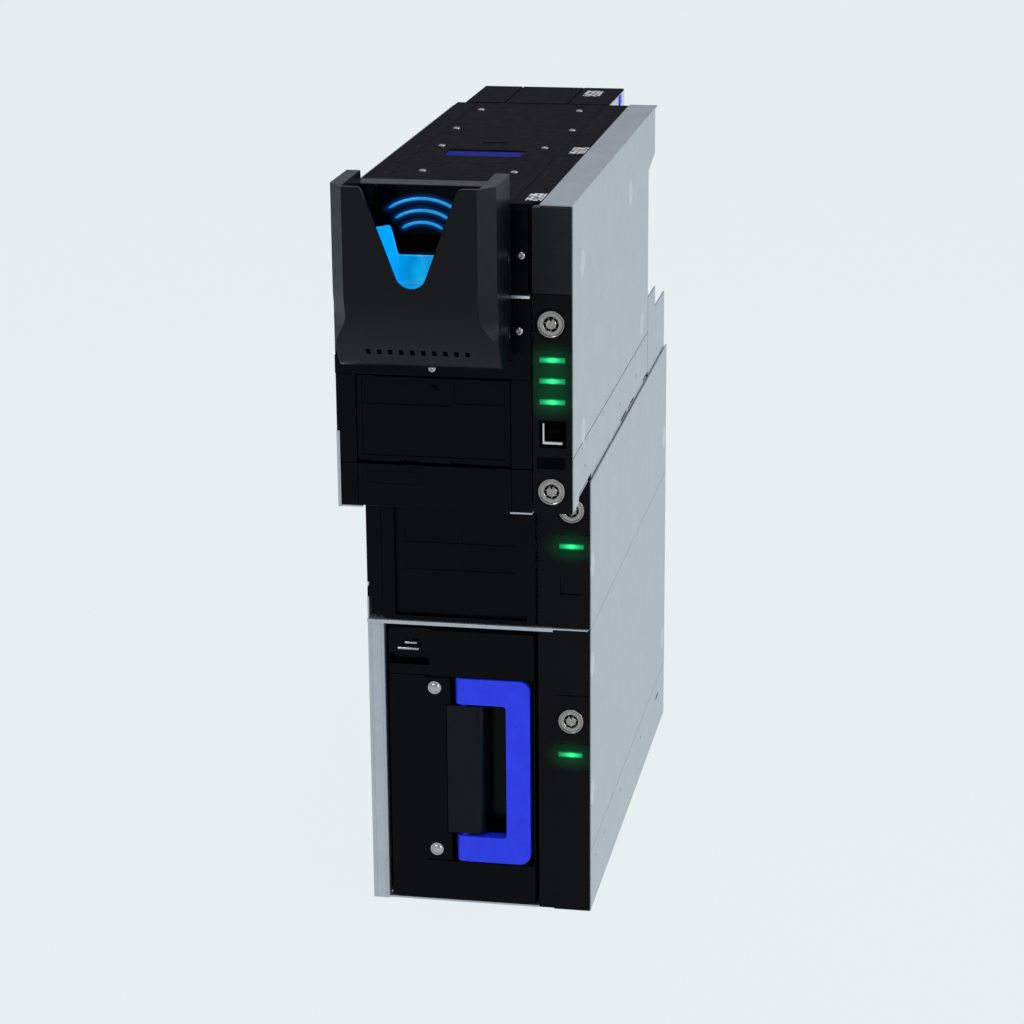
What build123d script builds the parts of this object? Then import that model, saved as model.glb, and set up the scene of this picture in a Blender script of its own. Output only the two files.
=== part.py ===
from build123d import *
import os

# A three-module banknote validator: a validator head on telescopic rails,
# a recycling cassette bay under it and a cash box bay at the bottom.
# X is to the right, Y to the rear, Z up. The origin is the centre of the
# four base bolts, on the underside of the base.

# ---- driving dimensions, in millimetres ----
chassis_width = 176.0
chassis_depth = 450.0
lower_height = 236.0      # cash box bay
middle_height = 119.0     # recycling cassette bay
head_height = 229.0       # validator head
head_lead = 84.0          # how far the head stands in front of the bays
head_depth = 405.0        # side panel of the head, along its lower edge
head_tail = 40.0          # how much further back the panel runs at the top
sheet = 1.2               # galvanised sheet
wall = 2.5                # moulded plastic
gap = 0.4                 # clearance between neighbouring pieces
slide_gap = 1.0           # clearance around what slides out
turn_gap = 0.05           # radial running clearance of a shaft or pin
column_width = 29.0       # black column at the right
column_depth = 12.0
base_skirt = 50.0         # height of the base tray's sides
floor_sheet = 1.5
flange_width = 13.0       # front flange of the left wall

box_side_gap = 3.0        # on each side of the cash box
box_length = 430.0
box_front_depth = 26.0
box_wall = 2.0
cassette_margin = 12.5     # from the left wall to the cassette
cassette_gap = 1.5        # between the cassette and the column's strip
cassette_length = 400.0
drum_radius = 42.0
drum_width = 92.0

bezel_width = 118.0
bezel_reach = 70.0        # how far the bezel stands in front of the head
horn_rise = 23.0          # the bezel's horns above the head's top
horn_width = 10.0
slot_width = 84.0         # note slot
slot_height = 13.0
note_level = 553.0 - 584.0  # underside of the note slot, from the head's top

lock_radius = 10.0
plug_radius = 5.0
lens_width = 19.0
lens_height = 4.2
screw_radius = 3.0
bolt_spacing_x = 120.0
bolt_spacing_y = 360.0
bolt_hole_radius = 2.75

# ---- levels and faces that follow from them ----
side = chassis_width / 2
front = -chassis_depth / 2
back = chassis_depth / 2
middle_top = lower_height + middle_height
head_top = middle_top + head_height
head_front = front - head_lead
head_back = head_front + head_depth
inner = side - sheet
column_left = side - column_width
strip_right = column_left - 1.0
bezel_centre = (strip_right - side) / 2
note_floor = head_top + note_level
bezel_front = head_front - bezel_reach
bezel_left = bezel_centre - bezel_width / 2
bezel_right = bezel_centre + bezel_width / 2
horn_top = head_top + horn_rise

os.makedirs("parts", exist_ok=True)


def block(x, y, z, mode=Mode.ADD):
    """A box between low and high values of each axis."""
    with Locations(((x[0] + x[1]) / 2, (y[0] + y[1]) / 2, (z[0] + z[1]) / 2)):
        Box(x[1] - x[0], y[1] - y[0], z[1] - z[0], mode=mode)


def bar_x(x, y, z, radius, mode=Mode.ADD):
    """A round bar along X from x[0] to x[1]."""
    with Locations(((x[0] + x[1]) / 2, y, z)):
        Cylinder(radius, x[1] - x[0], rotation=(0, 90, 0), mode=mode)


def bar_y(x, y, z, radius, mode=Mode.ADD):
    """A round bar along Y from y[0] to y[1]."""
    with Locations((x, (y[0] + y[1]) / 2, z)):
        Cylinder(radius, y[1] - y[0], rotation=(90, 0, 0), mode=mode)


def bar_z(x, y, z, radius, mode=Mode.ADD):
    """A round bar along Z from z[0] to z[1]."""
    with Locations((x, y, (z[0] + z[1]) / 2)):
        Cylinder(radius, z[1] - z[0], mode=mode)


def finish(piece, name):
    piece.part.label = name
    export_step(piece.part, "parts/" + name + ".step")


def dimples(x, places, depth=0.5, radius=4.5):
    """Shallow pressed spots in a side wall whose outer face is at x."""
    for y, z in places:
        bar_x((x - depth, x), y, z, radius, mode=Mode.SUBTRACT)


def small_holes(x, places, radius=1.4):
    """Through holes in a side wall whose outer face is at x."""
    for y, z in places:
        bar_x((x - 2 * sheet, x + sheet), y, z, radius, mode=Mode.SUBTRACT)


# ---- base and lower bay ----
tray_side = inner - gap

strip_width = 12.0        # recessed strip beside each column
column_back = front + column_depth
skirt_holes = [(front + y, base_skirt - 14) for y in (30, 76, 168, 290, 386)]

with BuildPart() as base_tray:
    block((-side + flange_width + gap, column_left - strip_width - gap), (front + 1.5, column_back + 1),
          (0, floor_sheet))
    block((-tray_side, side), (column_back + gap, back - sheet), (0, floor_sheet))
    block((-tray_side, -tray_side + sheet), (column_back + gap, back - sheet), (0, base_skirt))
    block((inner, side), (front + wall + gap, back - sheet), (0, base_skirt))
    with GridLocations(bolt_spacing_x, bolt_spacing_y, 2, 2):
        Hole(bolt_hole_radius)
    small_holes(side, skirt_holes)
    with Locations((side, back - 50, base_skirt - 16)):
        Box(4 * sheet, 16, 3, mode=Mode.SUBTRACT)
finish(base_tray, "base_tray")

with BuildPart() as left_wall_lower:
    block((-side, -inner), (front, back), (0, lower_height - gap))
    block((-side, -side + flange_width), (front, front + sheet), (0, lower_height - gap))
    block((-side + flange_width - sheet, -side + flange_width), (front, front + 10), (0, lower_height - gap))
finish(left_wall_lower, "left_wall_lower")

with BuildPart() as right_wall_lower:
    block((inner, side), (front + wall + gap, back), (base_skirt + gap, lower_height - gap))
    dimples(side, [(front + 9, 205), (front + 9, 98), (back - 16, 79)])
finish(right_wall_lower, "right_wall_lower")

with BuildPart() as rear_wall:
    block((-inner + gap, inner - gap), (back - sheet, back), (floor_sheet + gap, middle_top - 4))
    with Locations((0, back, lower_height / 2), (0, back, lower_height + middle_height / 2)):
        with GridLocations(90, 0, 2, 1):
            Box(40, 4 * sheet, 8, mode=Mode.SUBTRACT)
finish(rear_wall, "rear_wall")

shelf_front = front - 2.0
shelf_top = lower_height + sheet
cover_back = head_back + head_tail + 12
drop_y = (cover_back + 36, cover_back + 52)
drop_x = (bezel_centre - slot_width / 2, bezel_centre + slot_width / 2)

with BuildPart() as shelf_plate:
    block((-side, inner - gap), (shelf_front, back - sheet - gap), (lower_height, shelf_top))
    block((-side, column_left), (shelf_front, shelf_front + sheet), (lower_height - 1.8, shelf_top))
    block(drop_x, drop_y, (lower_height - 3, lower_height + 3), mode=Mode.SUBTRACT)
finish(shelf_plate, "shelf_plate")


def column(low, high, y, locks, lenses, windows=(), seams=(), strip=strip_width):
    """Black moulded column at the right of a bay, open at the back, with seats for locks and lenses."""
    block((column_left, side - gap / 2), (y, y + wall), (low, high))
    block((column_left, inner - gap), (y, y + column_depth), (low, high))
    if strip:
        block((column_left - strip, column_left + 0.01), (y + 1.5, y + column_depth), (low, high))
    block((column_left - strip + wall, inner - gap - wall), (y + wall + 5, y + column_depth + 1),
          (low + wall, high - wall), mode=Mode.SUBTRACT)
    for z in seams:
        block((column_left - 1, side), (y - 1, y + 0.7), (z - 0.4, z + 0.4), mode=Mode.SUBTRACT)
    for x, z in locks:
        bar_y(x, (y - 1, y + 1.6), z, lock_radius + 1.4, mode=Mode.SUBTRACT)
        bar_y(x, (y - 1, y + column_depth + 1), z, lock_radius - 1 + gap, mode=Mode.SUBTRACT)
    for x, z in lenses:
        block((x - lens_width / 2 - gap / 4, x + lens_width / 2 + gap / 4), (y - 1, y + 9),
              (z - lens_height / 2 - gap / 4, z + lens_height / 2 + gap / 4), mode=Mode.SUBTRACT)
        with BuildSketch(Plane.XZ.offset(-y)) as recess:
            with Locations((x, z - 0.8)):
                Rectangle(lens_width + 3.6, lens_height + 4.4)
        with BuildSketch(Plane.XZ.offset(-y - 1.6)) as recess_floor:
            with Locations((x, z)):
                Rectangle(lens_width, lens_height)
        loft([recess.sketch, recess_floor.sketch], mode=Mode.SUBTRACT)
    for x, z, w, h, depth in windows:
        block((x - w / 2, x + w / 2), (y - 1, y + depth), (z - h / 2, z + h / 2), mode=Mode.SUBTRACT)


def lock_body(x, y, z):
    """Tubular lock: a flanged ring in front of a barrel, bored for its plug."""
    bar_y(x, (y - 0.6, y + 1.4), z, lock_radius)
    bar_y(x, (y + 1.4, y + 18), z, lock_radius - 1)
    bar_y(x, (y - 1, y + 19), z, plug_radius + turn_gap, mode=Mode.SUBTRACT)


def lock_plug(x, y, z, name):
    """The turning plug with its ring keyway, centre pin, index notch and the cam behind it."""
    with BuildPart() as plug:
        bar_y(x, (y - 0.4, y + 22), z, plug_radius)
        bar_y(x, (y - 1, y + 3), z, plug_radius - 0.8, mode=Mode.SUBTRACT)
        bar_y(x, (y - 0.2, y + 3.1), z, plug_radius - 2.2)
        block((x - 0.7, x + 0.7), (y - 1, y + 1), (z + plug_radius - 1.4, z + plug_radius + 1),
              mode=Mode.SUBTRACT)
        block((x - 5, x + 5), (y + 19.2, y + 21.2), (z - 5, z + 20))
    finish(plug, name)


def lens_bar(x, y, z):
    """A small light-guide bar seated in its column."""
    block((x - lens_width / 2, x + lens_width / 2), (y + 1.6, y + 8),
          (z - lens_height / 2, z + lens_height / 2))


lower_lock = (side - 15.2, 160.5)
lower_lens = (side - 16.0, 132.0)
middle_lock = (side - 14.5, lower_height + 96.5)
middle_lens = (side - 14.8, lower_height + 67.0)
middle_window = (side - 15.0, lower_height + 36.0, 17.0, 15.0, 1.5)
head_locks = [(side - 15.6, head_top - 86.5), (side - 15.6, middle_top + 17.0)]
head_lenses = [(side - 15.0, head_top - 113.5 - 15.6 * n) for n in range(3)]
port = (side - 14.5, head_top - 168.5, 18.0, 18.5)
head_window = (side - 15.8, head_top - 190.5, 20.8, 8.4, 1.0)

with BuildPart() as lower_column:
    column(gap, lower_height - gap, front, [lower_lock], [lower_lens],
           seams=[lower_lock[1] - 18.6, lower_lock[1] + 21.6])
finish(lower_column, "lower_column")

with BuildPart() as middle_column:
    column(shelf_top + gap, middle_top - gap, front, [middle_lock], [middle_lens],
           windows=[middle_window], seams=[middle_lock[1] - 19.3])
finish(middle_column, "middle_column")

with BuildPart() as bay_lock_bodies:
    lock_body(lower_lock[0], front, lower_lock[1])
    lock_body(middle_lock[0], front, middle_lock[1])
finish(bay_lock_bodies, "bay_lock_bodies")

with BuildPart() as bay_lenses:
    lens_bar(lower_lens[0], front, lower_lens[1])
    lens_bar(middle_lens[0], front, middle_lens[1])
finish(bay_lenses, "bay_lenses")

lock_plug(lower_lock[0], front, lower_lock[1], "lower_lock_plug")
lock_plug(middle_lock[0], front, middle_lock[1], "middle_lock_plug")

# ---- middle bay ----
cassette_left = -side + cassette_margin
cassette_right = column_left - strip_width - cassette_gap
cassette_centre = (cassette_left + cassette_right) / 2

with BuildPart() as middle_left_wall:
    block((-side, -inner), (front + wall + gap, back), (shelf_top + gap, middle_top))
    block((-side, -inner), (front + gap, front + wall + 1), (shelf_top + gap, shelf_top + 17.5))
    block((-side, cassette_left - slide_gap), (column_back + gap, column_back + gap + sheet),
          (shelf_top + gap, middle_top))
finish(middle_left_wall, "middle_left_wall")

with BuildPart() as middle_right_wall:
    block((inner, side), (front + wall + gap, back), (lower_height, middle_top))
    dimples(side, [(front + 12, 286), (back - 14, 272)])
finish(middle_right_wall, "middle_right_wall")

with BuildPart() as middle_frame:
    block((-side + gap, cassette_left - gap), (front, front + wall), (shelf_top + 18, middle_top - 2))
    block((-inner + gap, cassette_left - gap), (front, column_back), (shelf_top + 17.9, middle_top - 2))
    block((-inner + 2, cassette_left - gap), (front + 1, column_back), (shelf_top + 3.4, shelf_top + 18))
    with Locations((-side, front, shelf_top + 28)):
        Box(4, 8, 4, mode=Mode.SUBTRACT)
finish(middle_frame, "middle_frame")

# ---- telescopic rails between the middle bay and the head ----
rail_length = 400.0
rail_front = column_back + 4
rail_z = middle_top + 22.0
rail_back = rail_front + rail_length - 90


def channel(web, tip, low, high, y, thick):
    """A U channel along Y: an upright web and two flanges reaching to tip."""
    near, far = sorted((web, tip))
    step = thick if tip > web else -thick
    block(sorted((web, web + step)), y, (low, high))
    block((near, far), y, (low, low + thick))
    block((near, far), y, (high - thick, high))


with BuildPart() as fixed_rails:
    for s in (-1, 1):
        channel(s * (side - 16), s * (side - 8), rail_z - 16, rail_z + 15, (rail_front, rail_back), sheet)
        block(sorted((s * (side - 16), s * (inner - gap))), (rail_front, rail_back),
              (rail_z - 16, rail_z - 16 + sheet))
        block(sorted((s * (inner - gap - sheet), s * (inner - gap))), (rail_front, rail_back),
              (middle_top - 24, rail_z - 16 + sheet))
        for y in (172, 214, 305):
            block(sorted((s * (inner - 3), s * side)), (front + y, front + y + 34),
                  (middle_top + 1.4, middle_top + 4.4), mode=Mode.SUBTRACT)
finish(fixed_rails, "fixed_rails")

with BuildPart() as middle_rails:
    for s in (-1, 1):
        channel(s * (side - 13.6), s * (side - 6.5), rail_z - 13, rail_z + 12,
                (rail_front, rail_back - 4), sheet)
finish(middle_rails, "middle_rails")

with BuildPart() as head_rails:
    for s in (-1, 1):
        channel(s * inner, s * (side - 11), rail_z - 9, rail_z + 8, (rail_front, rail_back - 8), sheet)
finish(head_rails, "head_rails")

# ---- posts and docking connector behind the head ----
post_front = head_back + 15
post_step = head_back + 60

with BuildPart() as rear_posts:
    for s in (-1, 1):
        x = sorted((s * (inner - gap), s * (inner - gap - sheet)))
        block(x, (post_front, post_step), (middle_top - 60, middle_top + 69))
        block(x, (post_step, back - 7), (middle_top - 60, middle_top + 51))
        block(x, (post_step + 2, post_step + 4), (middle_top + 30, middle_top + 80), mode=Mode.SUBTRACT)
    block((-inner + gap, inner - gap), (post_front, post_front + sheet), (middle_top + 6, middle_top + 64))
    for x in (-40, 20):
        block((x - 22, x + 22), (post_front - 9, post_front), (middle_top + 28, middle_top + 40))
        block((x - 19, x + 19), (post_front - 10, post_front - 4), (middle_top + 31, middle_top + 37),
              mode=Mode.SUBTRACT)
finish(rear_posts, "rear_posts")

# ---- validator head: sheet metal ----
panel_low = middle_top + 7.0
panel_seam = middle_top + 42.0
panel_front = head_front + wall + gap
tail_low = head_top - 41.0
lobe_back = head_front + 29.0
edge_width = 2.4          # silver front edge of the left rail panel
edge_top = middle_top + 57.0

with BuildPart() as head_left_panel:
    block((-side, -inner), (panel_front, head_back), (panel_seam + gap, head_top - sheet))
    block((-side, -inner), (head_back - 1, head_back + head_tail), (tail_low, head_top - sheet))
finish(head_left_panel, "head_left_panel")

with BuildPart() as head_right_panel:
    with BuildSketch(Plane.YZ.offset(inner)):
        with BuildLine():
            Polyline(
                (panel_front, panel_seam + gap),
                (head_back, panel_seam + gap),
                (head_back, tail_low - 6),
                (head_back + head_tail, tail_low + 2),
                (head_back + head_tail, head_top),
                (panel_front, head_top),
                close=True,
            )
        make_face()
    extrude(amount=sheet)
    block((side - 24, side), (panel_front, head_back + head_tail + 14), (head_top - sheet, head_top))
    dimples(side, [(head_front + 46.4, head_top - 51), (head_front + 297, head_top - 46),
                   (head_front + 367.6, head_top - 171), (head_front + 51, head_top - 178)])
finish(head_right_panel, "head_right_panel")

with BuildPart() as head_rail_panels:
    for s in (-1, 1):
        x = sorted((s * inner, s * side))
        block(x, (panel_front, head_back), (panel_low, panel_seam - gap))
        block(x, (panel_front, lobe_back), (middle_top + gap, panel_low + 1))
        for y in (45, 68, 148, 257, 332, 369, 388):
            bar_x((x[0] - 1, x[1] + 1), head_front + y, panel_seam - 4, 1.3, mode=Mode.SUBTRACT)
        for y in (58, 240, 335):
            bar_x((x[0] - 1, x[1] + 1), head_front + y, panel_low + 14, 1.6, mode=Mode.SUBTRACT)
    block((-side, -inner), (head_front + gap, panel_front + 1), (middle_top - sheet, panel_seam - gap))
    block((-side, -inner), (head_front + gap, lobe_back), (middle_top - sheet, middle_top + 1))
    block((-side, -side + 18), (head_front + gap, head_front + 16), (middle_top - sheet, middle_top))
    block((-side, -side + edge_width), (head_front - gap / 4, head_front + 1.5),
          (middle_top - sheet, edge_top))
    block((-side, -inner), (head_front + 1, panel_front - gap), (panel_seam - 1, edge_top))
finish(head_rail_panels, "head_rail_panels")

tray_half = side - 18.0

with BuildPart() as head_tray:
    block((-inner + gap, inner - gap), (head_front + 16, front - 2), (middle_top + 2, middle_top + 2 + sheet))
    block((-tray_half, tray_half), (front - 3, head_back), (middle_top + 2, middle_top + 2 + sheet))
    block((-tray_half, tray_half), (head_back - sheet, head_back), (middle_top + 2, middle_top + 44))
    block((-inner + gap, inner - gap), (head_back - sheet, head_back), (middle_top + 43, note_floor - 16))
    block((column_left - 17.5, column_left - 1.2), (head_front + gap, head_front + 18),
          (middle_top - sheet, middle_top))
    block((column_left - 17.5, column_left - 1.2), (head_front + 16.8, head_front + 18),
          (middle_top - sheet, middle_top + 2 + sheet))
finish(head_tray, "head_tray")

# ---- validator head: front ----
head_low = middle_top + gap
opening_left = -side + 15.5
opening_right = column_left - 16.5
flap_low = middle_top + 34.8
flap_high = head_top - 128.6
plate_low = head_top - 128.0

with BuildPart() as head_column:
    column(head_low, head_top - sheet - gap, head_front, head_locks, head_lenses,
           windows=[(port[0], port[1], port[2] + 2, port[3] + 2, column_depth + 1), head_window],
           seams=[head_locks[0][1] - 18.4, head_locks[0][1] + 22.0], strip=0)
finish(head_column, "head_column")

with BuildPart() as head_lock_bodies:
    for x, z in head_locks:
        lock_body(x, head_front, z)
finish(head_lock_bodies, "head_lock_bodies")

lock_plug(head_locks[0][0], head_front, head_locks[0][1], "upper_head_lock_plug")
lock_plug(head_locks[1][0], head_front, head_locks[1][1], "lower_head_lock_plug")

with BuildPart() as head_lenses_bar:
    for x, z in head_lenses:
        lens_bar(x, head_front, z)
finish(head_lenses_bar, "head_lenses")

with BuildPart() as service_port:
    x, z, w, h = port
    block((x - w / 2, x + w / 2), (head_front + 4, head_front + 16), (z - h / 2, z + h / 2))
    block((x - w / 2 + 1, x + w / 2 - 1), (head_front + 3, head_front + 14), (z - h / 2 + 1, z + h / 2 - 1),
          mode=Mode.SUBTRACT)
    block((x - 6, x + 6), (head_front + 8, head_front + 14.5), (z - 1.5, z + 1.5))
finish(service_port, "service_port")

flap_thick = 9.0
flap_hinge_y = head_front + flap_thick / 2
flap_hinge_z = flap_low + 4.0
flap_rib = bezel_centre + 15.0
pin_radius = 1.3
pin_reach = 3.0

with BuildPart() as front_jambs:
    block((-side + edge_width + gap, opening_left - gap), (head_front, head_front + 14),
          (flap_low - 1.4, edge_top + gap))
    block((-side + gap, opening_left - gap), (head_front, head_front + 2.4), (edge_top + gap, flap_high))
    block((-inner + gap, opening_left - gap), (head_front, head_front + 14), (edge_top, flap_high))
    block((opening_right + gap, strip_right), (head_front, head_front + 14), (flap_low - 1.4, flap_high))
    bar_x((opening_left - pin_reach - gap, opening_right + pin_reach + gap), flap_hinge_y, flap_hinge_z,
          pin_radius + turn_gap, mode=Mode.SUBTRACT)
finish(front_jambs, "front_jambs")

sill_top = flap_low - 2.0

with BuildPart() as bottom_bar:
    block((-side + edge_width + gap, opening_left - gap), (head_front, head_front + 14), (head_low, sill_top))
    block((opening_right + gap, strip_right), (head_front, head_front + 14), (head_low, sill_top))
    block((opening_left, opening_right), (head_front, head_front + 14), (head_low, sill_top))
    with BuildSketch(Plane.XZ.offset(-head_front)):
        with Locations((bezel_centre, head_low - 68.4)):
            Circle(71.5)
    extrude(amount=-20, mode=Mode.SUBTRACT)
    block((opening_left + 4, opening_left + 47), (head_front - 1, head_front + 0.5),
          (sill_top - 15, sill_top - 5.5), mode=Mode.SUBTRACT)
finish(bottom_bar, "bottom_bar")

with BuildPart() as flap_door:
    block((opening_left + gap, opening_right - gap), (head_front, head_front + flap_thick),
          (flap_low, flap_high - gap))
    fillet(flap_door.edges().filter_by(Axis.X), 1.0)
    for left, right, low, high in ((opening_left + 4, flap_rib - 1, 22.0, 3.0),
                                   (flap_rib + 1, opening_right - 4, 20.0, 3.5)):
        block((left, right), (head_front - 1, head_front + 1.0),
              (flap_high - low, flap_high - high), mode=Mode.SUBTRACT)
    block((opening_left + 4, opening_right - 4), (head_front - 1, head_front + 1.0),
          (flap_low + 4.5, flap_high - 25), mode=Mode.SUBTRACT)
    block((opening_left + 3, opening_right - 3), (head_front + 3, head_front + flap_thick + 1),
          (flap_low + 12, flap_high - 4), mode=Mode.SUBTRACT)
    for x in (opening_left + 5, bezel_centre - 18.7, bezel_centre + 20):
        block((x - 7, x + 7), (head_front - 1, head_front + 2.5), (flap_low - 1, flap_low + 2),
              mode=Mode.SUBTRACT)
    bar_y(bezel_centre, (head_front - 1.2, head_front + 4), flap_high - 9.5, 3.0)
    bar_x((opening_left - pin_reach, opening_right + pin_reach), flap_hinge_y, flap_hinge_z, pin_radius)
finish(flap_door, "flap_door")

# ---- bezel and its mounting plate ----
plate_back = head_front + 6.0
plate_front = head_front + 0.3
slot_low = note_floor
slot_high = note_floor + slot_height

with BuildPart() as bezel_plate:
    block((-side + gap, strip_right - 2.0), (plate_front, head_front + wall), (plate_low, head_top - 3))
    block((-inner + gap, strip_right - 2.0), (plate_front, plate_back), (plate_low, head_top - 3))
    block((bezel_right + 1, strip_right), (plate_front - 1.8, plate_front), (plate_low, head_top - 69.0))
    block((-side + gap, strip_right), (plate_front - 1.8, plate_front), (plate_low, plate_low + 13.5))
    block((bezel_right - 4, strip_right + 1), (plate_front - 3, plate_back + 1),
          (head_top - 68.9, head_top - 65.4), mode=Mode.SUBTRACT)
    block(drop_x, (plate_front - 3, plate_back + 1), (slot_low, slot_high), mode=Mode.SUBTRACT)
finish(bezel_plate, "bezel_plate")

chin_bend = head_top - 67.0
chin_mid = head_top - 89.0
chin_low = head_top - 108.0
chin_radius = 60.0
bezel_back = plate_front - 1.8 - gap / 4
front_wall = 3.0
cavity_x = (bezel_left + horn_width, bezel_right - horn_width)
panel_y = bezel_front + 46.0
mouth_floor = note_floor - 26.0


def mouth_outline(grow, top):
    """V of the bezel's mouth with a round bottom, widened by grow and cut off at top, in X and Z."""
    bottom_z = note_floor - 6.0
    radius = 11.5 + grow
    half = radius * 0.937
    start_z = bottom_z - radius * 0.35
    top_half = half + (top - start_z) * 0.373
    with BuildLine() as outline:
        Line((bezel_centre - top_half, top), (bezel_centre - half, start_z))
        ThreePointArc((bezel_centre - half, start_z), (bezel_centre, bottom_z - radius),
                      (bezel_centre + half, start_z))
        Line((bezel_centre + half, start_z), (bezel_centre + top_half, top))
        Line((bezel_centre + top_half, top), (bezel_centre - top_half, top))
    return outline.line


with BuildPart() as bezel:
    with BuildSketch(Plane.YZ.offset(bezel_left)) as bezel_side:
        with BuildLine():
            Polyline(
                (bezel_front, horn_top),
                (bezel_front, chin_bend),
                (bezel_front + 14, chin_mid),
                (bezel_front + 28, chin_low),
                (bezel_front + 34, chin_low - 5),
                (bezel_front + 50, chin_low - 6),
                (bezel_back - 8, chin_low),
                (bezel_back, chin_low + 14),
                (bezel_back, head_top - 8),
                (bezel_back - 4, horn_top),
                close=True,
            )
        make_face()
        fillet(bezel_side.vertices().sort_by_distance((bezel_front, chin_bend))[0:1], chin_radius)
    extrude(amount=bezel_width)
    for x, turn in ((bezel_left, 1), (bezel_right, -1)):
        with BuildSketch(Plane.XY.offset(chin_low - 20)):
            with BuildLine():
                Polyline((x - turn, bezel_front - 1), (x + turn * 11, bezel_front - 1),
                         (x + turn * 11, bezel_front), (x, bezel_front + 14),
                         (x - turn, bezel_front + 14), close=True)
            make_face()
        extrude(amount=horn_top - chin_low + 40, mode=Mode.SUBTRACT)
    block(cavity_x, (bezel_front + front_wall, panel_y), (mouth_floor, horn_top + 1), mode=Mode.SUBTRACT)
    block(cavity_x, (panel_y - 1, bezel_back + 1), (head_top + 16, horn_top + 1), mode=Mode.SUBTRACT)
    block((cavity_x[0] + 3, cavity_x[1] - 3), (panel_y + 4, bezel_back + 1), (chin_low + 12, mouth_floor - 3),
          mode=Mode.SUBTRACT)
    block(drop_x, (panel_y - 2, bezel_back + 1), (slot_low, slot_high), mode=Mode.SUBTRACT)
    with BuildSketch(Plane.XZ.offset(-bezel_front + 1)):
        add(mouth_outline(0, horn_top + 2))
        make_face()
    extrude(amount=-front_wall - 3, mode=Mode.SUBTRACT)
    for s in (-1, 1):
        fillet(bezel.edges().filter_by(Axis.Y).sort_by_distance(
            (bezel_centre + s * 34.6, bezel_front + 1.5, horn_top))[0:1], 5)
    for n in range(10):
        x = bezel_centre - 36 + 8 * n
        block((x - 1.6, x + 1.6), (bezel_front + 12, bezel_front + 40), (chin_low + 7, chin_low + 11),
              mode=Mode.SUBTRACT)
finish(bezel, "bezel")

# ---- inside the bezel ----
guide_front = bezel_front + front_wall + gap
guide_back = panel_y - 3.5
guide_top = note_floor - 1.6
guide_tip = guide_top + 26.0
guide_half = 21.0
guide_wall = 2.4

with BuildPart() as light_guide:
    for s in (-1, 1):
        with BuildSketch(Plane.XY.offset(mouth_floor + gap)):
            with BuildLine():
                Polyline(
                    (bezel_centre + s * guide_half, guide_back),
                    (bezel_centre + s * (guide_half + 8), guide_front),
                    (bezel_centre + s * (guide_half + 8 + guide_wall), guide_front),
                    (bezel_centre + s * (guide_half + guide_wall), guide_back),
                    close=True,
                )
            make_face()
        extrude(amount=guide_tip - mouth_floor - gap)
    block((bezel_centre - guide_half - guide_wall, bezel_centre + guide_half + guide_wall),
          (guide_back - guide_wall, guide_back), (mouth_floor + gap, guide_top))
    with BuildSketch(Plane.YZ.offset(bezel_centre - guide_half - 12)):
        with BuildLine():
            Polyline((guide_back + 1, guide_top), (guide_back - 5, guide_top), (guide_front + 8, guide_tip),
                     (guide_front + 8, guide_tip + 9), (guide_back + 1, guide_tip + 9), close=True)
        make_face()
    extrude(amount=2 * guide_half + 24, mode=Mode.SUBTRACT)
finish(light_guide, "light_guide")

with BuildPart() as signal_panel:
    block((bezel_centre - 32, bezel_centre + 32), (panel_y - 1.6, panel_y), (slot_high + 0.5, head_top + 16))
finish(signal_panel, "signal_panel")


def screw_y(x, y, z):
    """A pan-head screw driven towards +Y, its head in front of y."""
    bar_y(x, (y - 1.6, y), z, screw_radius)
    bar_y(x, (y - 2.6, y - 0.9), z, 1.1, mode=Mode.SUBTRACT)


with BuildPart() as bezel_screws:
    for x, z in ((strip_right - 7, head_top - 37), (strip_right - 8.6, head_top - 92),
                 (bezel_centre, plate_low + 6)):
        screw_y(x, plate_front - (1.8 if z < head_top - 69 else 0), z)
finish(bezel_screws, "bezel_screws")

# ---- note path, drive and electronics inside the head ----
bed_back = head_back - 10
bed_x = (bezel_centre - slot_width / 2 - 4, bezel_centre + slot_width / 2 + 4)
shaft_radius = 3.0
roller_radius = 8.5
shaft_z = slot_low - roller_radius
shaft_ys = (head_front + 58.0, head_back - 60.0)
roller_offset = 28.0

with BuildPart() as note_bed:
    block(bed_x, (plate_back + 1, bed_back), (slot_low - 3, slot_low - gap))
    for x in (bed_x[0], bed_x[1] - 3):
        block((x, x + 3), (plate_back + 1, bed_back), (slot_low - 24, slot_low - 2))
        for y in shaft_ys:
            bar_x((x - 1, x + 4), y, shaft_z, shaft_radius + turn_gap, mode=Mode.SUBTRACT)
    for y in shaft_ys:
        for s in (-1, 1):
            block((bezel_centre + s * roller_offset - 8, bezel_centre + s * roller_offset + 8),
                  (y - roller_radius - 1.5, y + roller_radius + 1.5), (slot_low - 4, slot_low + 1),
                  mode=Mode.SUBTRACT)
finish(note_bed, "note_bed")

pulley_x = bed_x[1] + 8.0
pulley_radius = 8.0
belt_thick = 1.4
belt_gap = 0.3
motor_y = (shaft_ys[0] + shaft_ys[1]) / 2
motor_z = shaft_z - 38.0
motor_radius = 15.0


def roller_shaft(y, name):
    """A steel shaft with two feed rollers and its belt pulley."""
    with BuildPart() as shaft:
        bar_x((bed_x[0] - 3, pulley_x + 5), y, shaft_z, shaft_radius)
        for s in (-1, 1):
            x = bezel_centre + s * roller_offset
            bar_x((x - 6.5, x + 6.5), y, shaft_z, roller_radius)
        bar_x((pulley_x - 4, pulley_x + 4), y, shaft_z, pulley_radius)
    finish(shaft, name)


roller_shaft(shaft_ys[0], "feed_shaft")
roller_shaft(shaft_ys[1], "transport_shaft")

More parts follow.
